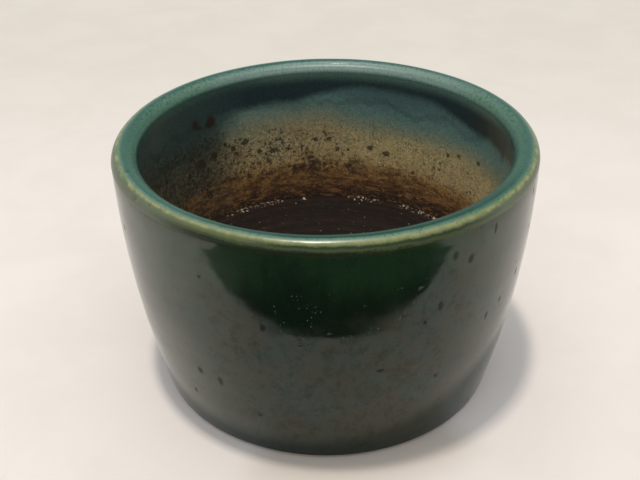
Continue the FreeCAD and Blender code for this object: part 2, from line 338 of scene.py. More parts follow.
    def marks(self, flat: Term, marks: Sequence["Mark"], radius: float, seam: float,
              soft: float) -> Value:
        """Single blemishes at given places on a wall.

        Args:
            flat: flat position in millimetres.
            marks: the blemishes.
            radius: the radius that the position was laid flat with.
            seam: the side of the seam, as for unrolled.
            soft: share of a blemish's radius over which it fades.

        Returns:
            1 inside a blemish and 0 outside.
        """
        total: Value = 0.0
        for mark in marks:
            turn = math.radians(mark.turn)
            centre = (math.atan2(math.cos(turn), -seam * math.sin(turn)) * radius, mark.height, 0.0)
            offset = self.vector("SUBTRACT", flat, centre)
            round_off = self.vector("MULTIPLY", offset, (1.0, 1.0 / mark.stretch, 0.0))
            gap = self.vector("LENGTH", round_off)
            shade = self.step(gap, mark.size * (1.0 - soft), mark.size, 1.0, 0.0)
            total = self.maths("MAXIMUM", total, shade)
        return total

    def blend(self, share: Value, first: Value, second: Value, mode: str = "MIX") -> Term:
        """Mixes two colours.

        Args:
            share: weight of the second colour.
            first: colour at 0.
            second: colour at 1.
            mode: blend mode.

        Returns:
            The mixed colour.
        """
        return self.term("ShaderNodeMix", {0: share, 6: first, 7: second}, 2, data_type="RGBA",
                         blend_type=mode, clamp_factor=True)

    def ramp(self, value: Term, stops: Sequence[tuple[float, Colour]]) -> Term:
        """A colour ramp.

        Args:
            value: position on the ramp, from 0 to 1.
            stops: position and colour of each stop, in order.

        Returns:
            The colour.
        """
        made = self.node("ShaderNodeValToRGB", {0: value})
        made.color_ramp.interpolation = "EASE"
        elements = made.color_ramp.elements
        while len(elements) < len(stops):
            elements.new(1.0)
        for element, (place, colour) in zip(elements, stops):
            element.position = place
            element.color = (*colour, 1.0)
        return Term(self, made.outputs[0])


# ---------------------------------------------------------------- finishes


@dataclass(frozen=True)
class Mark:
    """One round or upright blemish on a wall of the pot.

    Attributes:
        turn: angle round the pot in degrees.
        height: height in millimetres.
        size: its radius in millimetres.
        stretch: its height divided by its width.
    """

    turn: float
    height: float
    size: float
    stretch: float = 1.0


GLAZE_MARKS = (
    Mark(238, 92, 1.2, 1.2), Mark(314, 104, 1.3, 3.0), Mark(301, 100, 1.9, 1.6), Mark(306, 96, 2.3, 1.5),
    Mark(298, 79, 1.7, 2.2), Mark(322, 64, 1.3, 1.8), Mark(331, 70, 1.5, 2.0), Mark(316, 61, 1.3, 2.6),
    Mark(232, 40, 2.2, 1.3), Mark(239, 39, 1.9, 2.0), Mark(227, 24, 1.3, 1.8), Mark(254, 75, 1.6, 1.5),
    Mark(204, 90, 1.4, 1.6), Mark(300, 41, 1.6, 1.2), Mark(294, 73, 1.1, 1.6), Mark(250, 25, 1.9, 0.9),
    Mark(283, 53, 2.3, 0.6), Mark(336, 104, 1.3, 2.4),
)

SOOT_MARKS = (
    Mark(133, 92, 4.0, 1.15), Mark(140, 94, 2.7, 1.2), Mark(138, 91, 2.0, 0.8), Mark(138, 71, 3.2),
    Mark(132, 73, 2.6), Mark(119, 75, 2.3), Mark(109, 67, 2.4, 0.8), Mark(103, 67, 2.0, 0.8),
    Mark(93, 71, 1.6), Mark(88, 71, 1.6, 1.2), Mark(85, 65, 1.6), Mark(73, 67, 2.1),
    Mark(67, 65, 2.6, 0.8), Mark(27, 78, 1.6), Mark(37, 76, 1.5), Mark(42, 74, 1.4, 1.4),
    Mark(95, 61, 2.6, 0.6), Mark(56, 58, 1.4), Mark(124, 73, 1.8), Mark(123, 70, 2.2, 0.7),
    Mark(114, 68, 1.8), Mark(119, 56, 1.8), Mark(106, 73, 1.3),
)


@dataclass(frozen=True)
class Finish:
    """A procedural material in the pot's own millimetres.

    Attributes:
        name: the material's name.
    """

    name: str

    def paint(self, graph: Graph, place: Term, shader: Any) -> Optional[Term]:
        """Feeds the surface shader; each finish does this in its own way.

        Args:
            graph: the material's graph.
            place: position in millimetres.
            shader: the Principled BSDF node.

        Returns:
            Height of the relief in millimetres, or None for a smooth surface.
        """
        raise NotImplementedError

    def build(self) -> bpy.types.Material:
        """Makes the material.

        Returns:
            The finished material.
        """
        material = bpy.data.materials.new(self.name)
        material.use_nodes = True
        tree = material.node_tree
        graph = Graph(tree)
        shader = tree.nodes["Principled BSDF"]
        coordinates = graph.term("ShaderNodeTexCoord", result="Object")
        place = graph.vector("SCALE", coordinates, scale=1.0 / MM)
        height = self.paint(graph, place, shader)
        if height is not None:
            bump = graph.term("ShaderNodeBump", {"Height": height * MM, "Distance": 1.0})
            graph.feed(shader.inputs["Normal"], bump)
        return material


@dataclass(frozen=True)
class GreenGlaze(Finish):
    """Bottle-green glaze with pits, dimples and dust, with painted light on its upper left and a painted
    floor reflection on its flanks.

    Attributes:
        deep: colour where the glaze is thick.
        thin: colour where it is thin.
        olive: colour just under the lip, where it has run away from the edge.
        shoulder: height in millimetres at which that band ends.
        girth: radius in millimetres with which the wall is laid flat.
        refraction: index of refraction.
    """

    deep: Colour = (0.0026, 0.0080, 0.0040)
    thin: Colour = (0.0070, 0.0235, 0.0085)
    olive: Colour = (0.018, 0.026, 0.009)
    shoulder: float = 109.0
    girth: float = 86.0
    refraction: float = 1.54

    def paint(self, graph: Graph, place: Term, shader: Any) -> Optional[Term]:
        """See Finish.paint.

        Args:
            graph: the material's graph.
            place: position in millimetres.
            shader: the Principled BSDF node.

        Returns:
            Height of the relief in millimetres.
        """
        x, y, z = graph.separate(place)
        cloud = graph.noise(place, 30.0, 4.0, 0.55, 0.4)
        streak = graph.noise(graph.combine(x, y, z * 0.25), 9.0, 4.0, 0.6, 0.3)
        high = graph.step(z, 62.0, 104.0, 0.0, 0.16)
        thinness = graph.step(high + (cloud * 0.6 + streak * 0.4), 0.42, 0.74)
        colour = graph.blend(thinness, self.deep, self.thin)
        # painted light: the upper left of the wall is made a lighter green
        painted_left_light = graph.step(x, -10.0, -60.0) * graph.step(z, 66.0, 92.0)
        colour = graph.blend(painted_left_light * 0.7, colour, (0.015, 0.03, 0.015))
        grain = graph.noise(place, 0.8, 3.0, 0.7)
        colour = graph.blend(graph.step(grain, 0.48, 0.72, 0.0, 0.4), colour, (0.0110, 0.0300, 0.0120))
        sunk = graph.step(z + streak * 16.0, 108.0, 92.0, 0.0, 0.85)
        thick = graph.facing(place, 272.0, 40.0, 30.0) * sunk
        colour = graph.blend(thick, colour, (0.0022, 0.0075, 0.0032))
        # painted reflection: the pale floor's grey on the right and left flanks, broken up by clouds
        flank_reflection = graph.step(x, 48.0, 84.0, 0.0, 0.24) * graph.step(z, 48.0, 76.0)
        flank_reflection = graph.step(x, -22.0, -72.0, 0.0, 0.26) + flank_reflection
        flank_reflection *= graph.step(cloud, 0.3, 0.66, 0.75, 1.25)
        colour = graph.blend(flank_reflection, colour, (0.135, 0.135, 0.120))
        edge = z + streak * 2.4
        band = graph.step(edge, self.shoulder - 0.4, self.shoulder + 1.4, 0.0, 0.95)
        colour = graph.blend(band, colour, self.olive)
        flat = graph.unrolled(place, self.girth, SEAM_BEHIND)
        uneven = graph.ragged(flat, 1.2, 0.5)
        blemish = graph.marks(uneven, GLAZE_MARKS, self.girth, SEAM_BEHIND, 0.70)
        side = graph.step(x, -30.0, 60.0, 0.05, 0.22)
        pits = graph.spots(uneven, 4.4, 0.50, side, 0.7)
        dimples = graph.spots(uneven, 11.0, 1.8, side * 1.4, 0.9)
        film = graph.step(graph.noise(place, 7.0, 3.0, 0.6), 0.50, 0.62, 0.0, 0.50)
        belt = graph.step(z, 64.0, 74.0) * graph.step(z, 98.0, 88.0)
        front = graph.facing(place, 272.0, 26.0, 12.0) * belt
        dust = graph.spots(flat, 1.6, 0.2, film * front, 0.6)
        dark = graph.maths("MAXIMUM", pits * 0.8, blemish * 0.8)
        colour = graph.blend(dark * 0.7, colour, (0.002, 0.003, 0.002))
        colour = graph.blend(dust * 0.6, colour, (0.36, 0.4, 0.35))
        graph.feed(shader.inputs["Base Color"], colour)
        smear = graph.step(graph.noise(place, 19.0, 5.0, 0.65), 0.36, 0.66, 0.07, 0.19)
        matt = graph.maths("MAXIMUM", dark * 0.55, graph.maths("MAXIMUM", dimples * 0.22, dust))
        graph.feed(shader.inputs["Roughness"], smear + matt * 0.8)
        tint = graph.step(graph.noise(place, 30.0, 8.0, 0.78), 0.40, 0.60)
        gloss = graph.blend(tint, (0.78, 1.00, 0.94), (1.00, 0.90, 0.72))
        gloss = graph.blend(graph.step(x, -24.0, -60.0, 0.0, 0.55), gloss, (0.74, 0.96, 0.78))
        gloss = graph.blend(graph.step(z, 13.0, 3.0, 0.0, 0.75), gloss, (0.56, 0.74, 0.88))
        worn = graph.step(graph.noise(place, 6.0, 7.0, 0.85), 0.36, 0.54, 0.55, 1.0)
        worn += graph.step(graph.maths("ABSOLUTE", x), 25.0, 75.0, 0.0, 0.22)
        runs = graph.noise(graph.vector("MULTIPLY", flat, (1.0, 0.55, 1.0)), 6.0, 6.0, 0.75, 0.6)
        worn *= graph.step(runs, 0.36, 0.62, 0.82, 1.18)
        worn *= graph.step(dark, 0.0, 1.0, 1.0, 0.35)
        graph.feed(shader.inputs["Specular Tint"], graph.blend(worn, (0.0, 0.0, 0.0), gloss))
        graph.feed(shader.inputs["IOR"], self.refraction)
        relief = graph.noise(place, 2.6, 3.0, 0.5) * 0.006
        relief += graph.noise(place, 15.0, 2.0, 0.5) * 0.03
        relief -= dark * 0.02
        return relief - dimples * 0.05


@dataclass(frozen=True)
class LipGlaze(Finish):
    """Blue-green glaze that breaks to ochre on the edges of the lip, with a painted sheen on the back of
    its inner roll.

    Attributes:
        outside: radius of the lip's outer edge in millimetres.
        roll: radius of the lip's round section in millimetres.
        middle: height in millimetres of the point that the section is measured round.
        refraction: index of refraction.
        tint: colour of its reflections.
        coat: weight and roughness of its clear coat.
    """

    outside: float = 90.0
    roll: float = 5.0
    middle: float = 108.2
    refraction: float = 1.6
    tint: Colour = (0.94, 1.0, 1.08)
    coat: tuple[float, float] = (0.08, 0.09)

    def paint(self, graph: Graph, place: Term, shader: Any) -> Optional[Term]:
        """See Finish.paint.

        Args:
            graph: the material's graph.
            place: position in millimetres.
            shader: the Principled BSDF node.

        Returns:
            Height of the relief in millimetres.
        """
        x, y, z = graph.separate(place)
        radius = graph.vector("LENGTH", graph.combine(x, y, 0.0))
        wander = graph.noise(place, 8.0, 4.0, 0.6, 0.3)
        fine = graph.noise(place, 1.1, 3.0, 0.65)
        shift = (wander - 0.5) * 0.07 + (fine - 0.5) * 0.06
        shift += graph.step(x, -60.0, 60.0, 0.045, -0.035)
        angle = graph.maths("ARCTAN2", z - self.middle, radius - (self.outside - self.roll))
        arc, _, _ = graph.separate(graph.unrolled(place, self.outside, SEAM_IN_FRONT))
        stretched = graph.combine(arc, angle * (0.8 * self.roll), 0.0)
        fibres = graph.noise(stretched, 1.3, 4.0, 0.7, 0.3)
        level = graph.step(angle, 0.16, 3.04, 1.0, 0.0)
        across = level + shift
        colour = graph.ramp(across, (
            (0.00, (0.030, 0.080, 0.056)), (0.10, (0.048, 0.124, 0.082)), (0.21, (0.038, 0.126, 0.074)),
            (0.30, (0.030, 0.115, 0.066)), (0.42, (0.022, 0.102, 0.064)), (0.54, (0.024, 0.106, 0.072)),
            (0.60, (0.046, 0.140, 0.092)), (0.66, (0.095, 0.180, 0.098)), (0.72, (0.200, 0.245, 0.112)),
            (0.78, (0.280, 0.290, 0.126)), (0.835, (0.200, 0.215, 0.090)), (0.87, (0.090, 0.110, 0.044)),
            (0.895, (0.028, 0.042, 0.012)), (0.915, (0.020, 0.034, 0.009)), (0.945, (0.044, 0.060, 0.021)),
            (0.965, (0.050, 0.068, 0.023)), (0.985, (0.024, 0.034, 0.011)), (1.00, (0.012, 0.020, 0.007))))
        edge = graph.step(across, 0.8, 0.86) * graph.step(across, 0.95, 0.91)
        strayed = graph.facing(place, 236.0, 24.0, 14.0) * edge
        colour = graph.blend(strayed * 0.75, colour, (0.12, 0.14, 0.06))
        flankward = graph.facing(place, 90.0, 152.0, 130.0)
        plain = flankward * graph.step(across, 0.83, 0.88, 0.0, 0.85)
        colour = graph.blend(plain, colour, (0.130, 0.148, 0.098))
        crown = graph.step(across, 0.2, 0.3) * graph.step(across, 0.62, 0.54)
        deep = graph.facing(place, 285.0, 56.0, 22.0) * crown
        colour = graph.blend(deep * 0.92, colour, (0.004, 0.042, 0.022))
        # painted sheen: paler blue-green on the back of the lip's inner roll, standing in for a broad
        # highlight there
        painted_sheen = graph.facing(place, 82.0, 100.0, 45.0) * graph.step(across, 0.46, 0.34)
        dim = graph.facing(place, 150.0, 48.0, 12.0) * graph.step(across, 0.17, 0.02, 0.0, 0.8)
        painted_sheen -= painted_sheen * dim
        sheen_hue = graph.blend(graph.step(across, 0.22, 0.36), (0.125, 0.222, 0.154), (0.088, 0.184, 0.182))
        colour = graph.blend(painted_sheen * graph.step(across, 0.0, 0.14, 0.65, 0.85), colour, sheen_hue)
        broken = graph.step(graph.noise(place, 4.0, 5.0, 0.75, 0.5), 0.44, 0.56)
        rim = graph.step(across, 0.66, 0.73) * graph.step(across, 0.87, 0.84)
        front = graph.step(y, -40.0, -84.0, 0.70, 0.25)
        colour = graph.blend(broken * rim * front, colour, (0.05, 0.12, 0.05))
        teal = graph.step(fibres, 0.46, 0.64, 0.0, 0.60)
        colour = graph.blend(teal * graph.step(across, 0.74, 0.64), colour, (0.008, 0.066, 0.04))
        pale = graph.step(fibres, 0.56, 0.36, 0.0, 0.80)
        near = graph.step(across, 0.2, 0.28) * graph.step(across, 0.5, 0.4)
        flank = graph.step(graph.maths("ABSOLUTE", x), 15.0, 60.0, 0.2, 1.0)
        flank *= graph.step(y, -5.0, 45.0, 0.1, 1.0)
        colour = graph.blend(pale * near * flank, colour, (0.125, 0.205, 0.12))
        blue = graph.step(graph.noise(place, 9.0, 5.0, 0.65), 0.46, 0.64)
        middle = graph.step(across, 0.42, 0.54) * graph.step(across, 0.74, 0.66)
        behind = graph.step(y, 0.0, 80.0, 0.30, 0.75)
        colour = graph.blend(blue * middle * behind, colour, (0.036, 0.115, 0.11))
        specks = graph.spots(graph.ragged(stretched, 1.0, 0.3), 2.2, 0.36, 0.25)
        colour = graph.blend(specks * 0.75, colour, (0.01, 0.018, 0.008))
        graph.feed(shader.inputs["Base Color"], colour)
        inner = graph.step(across, 0.44, 0.24)
        graph.feed(shader.inputs["Roughness"], graph.step(fine, 0.36, 0.72, 0.28, 0.36) + inner * 0.15)
        shine = graph.step(across, 0.56, 0.64) * graph.step(across, 0.8, 0.74)
        shine *= graph.facing(place, 250.0, 70.0, 25.0)
        shine *= 0.62
        shine = graph.maths("MAXIMUM", shine, inner * graph.facing(place, 84.0, 66.0, 20.0))
        graph.feed(shader.inputs["Specular IOR Level"], graph.step(shine, 0.0, 1.0, 0.14, 1.0))
        graph.feed(shader.inputs["IOR"], self.refraction)
        graph.feed(shader.inputs["Specular Tint"], self.tint)
        graph.feed(shader.inputs["Coat Weight"], self.coat[0])
        graph.feed(shader.inputs["Coat Roughness"], self.coat[1])
        relief = graph.noise(place, 1.6, 3.0, 0.6) * 0.014
        relief += graph.step(level, 0.28, 0.1, 0.0, 0.45)
        return relief - specks * 0.04


@dataclass(frozen=True)
class InsideWall(Finish):
    """Inner wall: glaze above, speckled bare clay in the middle, soil stain below, with painted shade on
    the left and under the lip and painted light at the top of the back.

    Attributes:
        floor: height of the raised floor in millimetres.
        glazed: whether the surface is the glaze coat rather than the bare clay.
        girth: radius in millimetres with which the wall is laid flat.
        refraction: index of refraction.
        coat: weight and roughness of the clear coat on the glaze.
    """

    floor: float = 39.5
    glazed: bool = False
    girth: float = 82.0
    refraction: float = 1.42
    coat: tuple[float, float] = (0.12, 0.12)

    def paint(self, graph: Graph, place: Term, shader: Any) -> Optional[Term]:
        """See Finish.paint.

        Args:
            graph: the material's graph.
            place: position in millimetres.
            shader: the Principled BSDF node.

        Returns:
            Height of the relief in millimetres.
        """
        _, _, z = graph.separate(place)
        flat = graph.unrolled(place, self.girth, SEAM_IN_FRONT)
        broad = graph.noise(place, 30.0, 4.0, 0.6, 0.4)
        fine = graph.noise(place, 2.2, 5.0, 0.72)
        grain = graph.noise(place, 0.8, 3.0, 0.7)
        above = z - self.floor
        strayed = graph.ragged(place, 9.0, 9.0)
        # left side of the wall: it sets painted shade there and also crowds the real stain spots
        left = graph.facing(strayed, 185.0, 68.0, 47.0)
        right = graph.facing(place, 50.0, 45.0, 12.0)

        def wander(height: Term, broadly: float, finely: float) -> Term:
            """A height that strays, for an uneven border.

            Args:
                height: the height in millimetres.
                broadly: how far it strays over a wide stretch.
                finely: how far it strays from point to point.

            Returns:
                The straying height.
            """
            wide = (broad - 0.5) * broadly
            close = (fine - 0.5) * finely
            return height + (wide + close)

        low = wander(above, 10.0, 12.0)
        colour = graph.ramp(low / 60.0, (
            (0.00, (0.018, 0.010, 0.007)), (0.05, (0.044, 0.020, 0.011)), (0.11, (0.140, 0.062, 0.022)),
            (0.21, (0.350, 0.180, 0.058)), (0.27, (0.430, 0.260, 0.096)), (0.33, (0.540, 0.368, 0.162)),
            (0.50, (0.630, 0.492, 0.250)), (0.72, (0.460, 0.420, 0.245)), (1.00, (0.370, 0.410, 0.290))))
        bare = graph.step(above, 16.0, 24.0)
        tide = graph.noise(place, 20.0, 4.0, 0.6, 0.8)
        colour = graph.blend(graph.step(tide, 0.5, 0.62, 0.0, 0.45) * bare, colour, (0.62, 0.45, 0.24))
        colour = graph.blend(graph.step(tide, 0.48, 0.36, 0.0, 0.45) * bare, colour, (0.43, 0.43, 0.275))
        warm = graph.step(graph.noise(place, 7.0, 6.0, 0.8, 0.6), 0.48, 0.62, 0.0, 0.55)
        warm *= graph.step(above, 46.0, 34.0, 0.3, 1.0)
        colour = graph.blend(warm * bare, colour, (0.32, 0.19, 0.08))
        cool = graph.step(graph.noise(place, 5.0, 5.0, 0.75, 0.3), 0.50, 0.62, 0.0, 0.50)
        colour = graph.blend(cool * bare, colour, (0.42, 0.415, 0.285))
        lit = right * graph.step(above, 14.0, 22.0, 0.0, 0.4)
        colour = graph.blend(lit, colour, (0.640, 0.500, 0.230))
        border = 80.5 + 6.0 * graph.facing(place, 105.0, 26.0, 8.0)
        upper = wander(z, 12.0, 8.0) - border
        slate = graph.blend(graph.step(upper, 5.0, 19.0, 0.0, 0.75), (0.210, 0.350, 0.300),
                            (0.088, 0.165, 0.165))
        slate = graph.blend(graph.step(fine, 0.40, 0.66, 0.0, 0.35), slate, (0.120, 0.190, 0.170))
        # painted shade: the slate glaze is darker on the left
        slate = graph.blend(left, slate, (0.064, 0.100, 0.088))
        colour = graph.blend(graph.step(upper, -10.0, 8.0), colour, slate)
        # dark band under the lip, deeper at the back left and on the right: partly darker glaze, partly
        # painted shade under the lip's overhang
        lower = 8.5 * graph.facing(place, 122.0, 46.0, 10.0) + 7.0 * graph.facing(place, 12.0, 44.0, 14.0)
        depth = 6.0 + lower
        hem = (wander(z, 7.0, 1.6) + depth - 107.2) / 2.8
        colour = graph.blend(graph.step(hem, -1.0, 1.0), colour, graph.blend(
            left, (0.036, 0.062, 0.062), (0.054, 0.090, 0.082)))
        # painted light: lighter green at the top of the back wall under the lip, fading downwards and
        # weaker on the left
        fade = graph.step(wander(z, 2.0, 1.0), 102.5, 110.5, 0.0, 0.95)
        fade *= (1.0 - graph.facing(place, 150.0, 48.0, 12.0) * 0.75)
        colour = graph.blend(fade * graph.facing(place, 90.0, 100.0, 60.0), colour, (0.17, 0.29, 0.22))

        bottom = graph.step(above, 9.0, 17.0, 0.25, 1.0)
        busy = bottom * graph.step(above, 46.0, 30.0)
        crowded = graph.facing(place, 118.0, 40.0, 14.0)
        crowd = 0.16 + (left * 0.6 + crowded * 0.36)
        patch = graph.step(graph.noise(place, 9.0, 3.0, 0.6), 0.40, 0.60, 0.30, 1.45)
        crowd = crowd * patch * busy
        rough = graph.ragged(flat, 0.9, 0.8)
        large = graph.spots(rough, 6.0, 2.4, crowd * 0.5, 0.8)
        medium = graph.spots(rough, 3.2, 1.5, crowd * 1.15, 0.9)
        thin = graph.step(above, 54.0, 36.0, 0.1, 1.0) * bottom
        small = graph.spots(graph.ragged(flat, 0.8, 0.45), 1.5, 0.6, thin * (0.26 + crowd), 0.6)
        single = graph.marks(graph.ragged(flat, 1.4, 1.3), SOOT_MARKS, self.girth, SEAM_IN_FRONT, 0.5)
        mottle = graph.noise(place, 1.5, 6.0, 0.85)
        brown = graph.step(mottle, 0.49, 0.6) * (busy * (0.28 + crowded * 0.72))
        clots = graph.step(graph.noise(place, 6.0, 5.0, 0.75), 0.44, 0.58, 0.25, 1.0)
        colour = graph.blend(brown * clots * 0.88, colour, (0.11, 0.062, 0.027))
        # painted shade on the left of the wall, down to near the floor; its colour mixes in real dark
        # blotches
        shade = left * graph.step(upper, 12.0, 0.0) * graph.step(above, 6.0, 22.0, 0.45, 1.0)
        shade_and_blotches = graph.blend(graph.step(upper, -16.0, 0.0), (0.155, 0.150, 0.102), (0.080, 0.118, 0.100))
        shade_and_blotches = graph.blend(graph.step(graph.noise(place, 1.6, 6.0, 0.85), 0.44, 0.56), shade_and_blotches,
                           (0.026, 0.026, 0.019))
        colour = graph.blend(shade * 0.94, colour, shade_and_blotches)
        colour = graph.blend(small * 0.68, colour, (0.085, 0.052, 0.025))
        colour = graph.blend(medium * 0.88, colour, (0.06, 0.036, 0.018))
        dark = graph.maths("MAXIMUM", large, single)
        colour = graph.blend(dark * 0.84, colour, (0.05, 0.03, 0.017))

        rust = graph.step(low, 22.0, 14.0)
        streaks = graph.noise(graph.vector("MULTIPLY", place, (0.55, 0.55, 1.2)), 1.5, 7.0, 0.85)
        colour = graph.blend(rust * graph.step(streaks, 0.52, 0.6, 0.0, 0.75), colour, (0.4, 0.2, 0.066))
        colour = graph.blend(rust * graph.step(streaks, 0.49, 0.42, 0.0, 0.85), colour,
                             (0.04, 0.018, 0.011))
        bands = graph.noise(graph.vector("MULTIPLY", place, (0.30, 0.30, 1.0)), 3.0, 5.0, 0.7)
        colour = graph.blend(rust * graph.step(bands, 0.5, 0.6, 0.0, 0.6), colour, (0.06, 0.026, 0.014))
        colour = graph.blend(rust * graph.step(bands, 0.48, 0.4, 0.0, 0.45), colour, (0.44, 0.215, 0.07))
        burnt = graph.step(graph.noise(place, 7.0, 6.0, 0.8), 0.46, 0.54)
        burnt *= graph.facing(place, 91.0, 20.0, 8.0)
        burnt *= graph.step(graph.maths("ABSOLUTE", low - 16.5), 6.0, 2.0)
        colour = graph.blend(burnt * 0.85, colour, (0.044, 0.022, 0.013))
        grainy = graph.step(graph.noise(place, 8.0, 3.0), 0.48, 0.6, 0.05, 0.7)
        grainy *= graph.step(graph.maths("ABSOLUTE", above - 13.0), 9.0, 3.0, 0.0, 0.6)
        crumbs = graph.spots(graph.ragged(flat, 0.6, 0.2), 1.2, 0.38, grainy, 0.5)
        colour = graph.blend(crumbs * 0.85, colour, (0.5, 0.38, 0.22))
        coarse = graph.step(upper, 10.0, -8.0)
        coarse *= graph.step(tide, 0.36, 0.62, 0.9, 0.35)
        colour = graph.blend(coarse, colour, graph.blend(graph.step(mottle, 0.40, 0.60), (
            1.24, 1.24, 1.20), (0.66, 0.62, 0.56)), "MULTIPLY")
        colour = graph.blend(1.0, colour, graph.blend(graph.step(grain, 0.35, 0.65), (0.80, 0.80, 0.80),
                                                      (1.12, 1.12, 1.12)), "MULTIPLY")
        graph.feed(shader.inputs["Base Color"], colour)
        matt = graph.step(upper, 8.0, -16.0, 0.20, 0.62)
        graph.feed(shader.inputs["Roughness"], matt + dark * 0.15)
        graph.feed(shader.inputs["IOR"], self.refraction)
        if self.glazed:
            graph.feed(shader.inputs["Coat Weight"], self.coat[0])
            graph.feed(shader.inputs["Coat Roughness"], self.coat[1])
        relief = grain * 0.05
        relief += large * 0.1
        relief += rust * streaks * 0.5
        return relief + crumbs * 0.2


@dataclass(frozen=True)
class FloorClay(Finish):
    """Bare clay stained nearly black, with tool rings.

    Attributes:
        pitch: distance between tool rings in millimetres.
        paleness: share of bare buff clay that shows, from 0 to 1.
        shine: strength of its reflections.
    """

    pitch: float = 4.2
    paleness: float = 0.0
    shine: float = 0.25

    def paint(self, graph: Graph, place: Term, shader: Any) -> Optional[Term]:
        """See Finish.paint.

        Args:
            graph: the material's graph.
            place: position in millimetres.
            shader: the Principled BSDF node.

        Returns:
            Height of the relief in millimetres.
        """
        x, y, _ = graph.separate(place)
        radius = graph.vector("LENGTH", graph.combine(x, y, 0.0))
        wobble = graph.noise(place, 26.0, 3.0, 0.5) * 5.0
        rings = graph.combine((radius + wobble) / self.pitch)
        ring = graph.noise(rings, 1.0, 3.0, 0.6)
        tone = ring * 0.65 + graph.noise(place, 4.0, 5.0, 0.7) * 0.35
        colour = graph.ramp(tone, (
            (0.30, (0.006, 0.005, 0.005)), (0.48, (0.013, 0.008, 0.006)), (0.60, (0.030, 0.015, 0.009)),
            (0.74, (0.050, 0.027, 0.014))))
        # painted shade: the floor is darker over its front half, near the front wall
        colour = graph.blend(graph.step(y, 45.0, 5.0, 0.0, 0.75), colour, (0.004, 0.006, 0.006))
        buff = graph.blend(graph.noise(place, 2.0, 5.0, 0.7), (0.30, 0.20, 0.12), (0.44, 0.33, 0.22))
        colour = graph.blend(self.paleness, colour, buff)
        iron = graph.spots(place, 2.4, 0.4, 0.22)
        colour = graph.blend(iron * 0.7, colour, (0.03, 0.015, 0.008))
        graph.feed(shader.inputs["Base Color"], colour)
        graph.feed(shader.inputs["Roughness"], graph.step(tone, 0.3, 0.7, 0.68, 0.92))
        graph.feed(shader.inputs["Specular IOR Level"], self.shine)
        relief = ring * 0.13
        return relief + graph.noise(place, 0.9, 4.0, 0.7) * 0.1


@dataclass(frozen=True)
class Mottled(Finish):
    """A small part's finish: two tones, fine relief and a spread of roughness.

    Attributes:
        first: first tone.
        second: second tone.
        size: size of the mottling in millimetres.
        rough: lowest and highest roughness.
        metal: 1 for metal and 0 otherwise.
        grain: height of the relief in millimetres.
    """

    first: Colour = (0.5, 0.5, 0.5)
    second: Colour = (0.3, 0.3, 0.3)
    size: float = 2.0
    rough: tuple[float, float] = (0.4, 0.7)
    metal: float = 0.0
    grain: float = 0.02

    def paint(self, graph: Graph, place: Term, shader: Any) -> Optional[Term]:
        """See Finish.paint.

        Args:
            graph: the material's graph.
            place: position in millimetres.
            shader: the Principled BSDF node.

        Returns:
            Height of the relief in millimetres.
        """
        tone = graph.step(graph.noise(place, self.size, 4.0, 0.65, 0.3), 0.35, 0.65)
        graph.feed(shader.inputs["Base Color"], graph.blend(tone, self.first, self.second))
        graph.feed(shader.inputs["Roughness"], graph.step(tone, 0.0, 1.0, *self.rough))
        graph.feed(shader.inputs["Metallic"], self.metal)
        return graph.noise(place, self.size * 0.3, 3.0, 0.6) * self.grain


@dataclass(frozen=True)
class StoneFloor(Finish):
    """Pale stone for the stage, with faint clouds, painted lighter in front and a little darker towards
    the back, and with painted shade just in front of the foot.

    Attributes:
        near: colour in front of the pot.
        far: colour behind it.
        before: tint of the painted shade on the ground just in front of the foot.
        veil: tint of the clouds.
        rough: roughness.
    """

    near: Colour = (0.918, 0.841, 0.790)
    far: Colour = (0.735, 0.677, 0.602)
    before: Colour = (0.80, 0.77, 0.71)
    veil: Colour = (0.965, 0.962, 0.955)
    rough: float = 0.9

    def paint(self, graph: Graph, place: Term, shader: Any) -> Optional[Term]:
        """See Finish.paint.

        Args:
            graph: the material's graph.
            place: position in millimetres.
            shader: the Principled BSDF node.

        Returns:
            None, as the floor is smooth.
        """
        x, y, _ = graph.separate(place)
        # painted light: the floor is paler in front of the pot and darker behind it
        colour = graph.blend(graph.step(y, -60.0, 470.0), self.near, self.far)
        radius = graph.vector("LENGTH", graph.combine(x, y, 0.0))
        # painted shade: the ground just in front of the foot is darkened and warmed
        before = graph.step(radius, 106.0, 80.0) * graph.facing(place, 280.0, 38.0, 24.0)
        colour = graph.blend(before, colour, graph.blend(1.0, colour, self.before, "MULTIPLY"))
        cloud = graph.step(graph.noise(place, 60.0, 5.0, 0.6, 0.5), 0.35, 0.65)
        cloudy = graph.blend(cloud, (1.0, 1.0, 1.0), self.veil)
        graph.feed(shader.inputs["Base Color"], graph.blend(1.0, colour, cloudy, "MULTIPLY"))
        graph.feed(shader.inputs["Roughness"], self.rough)
        return None


# ---------------------------------------------------------------- shape


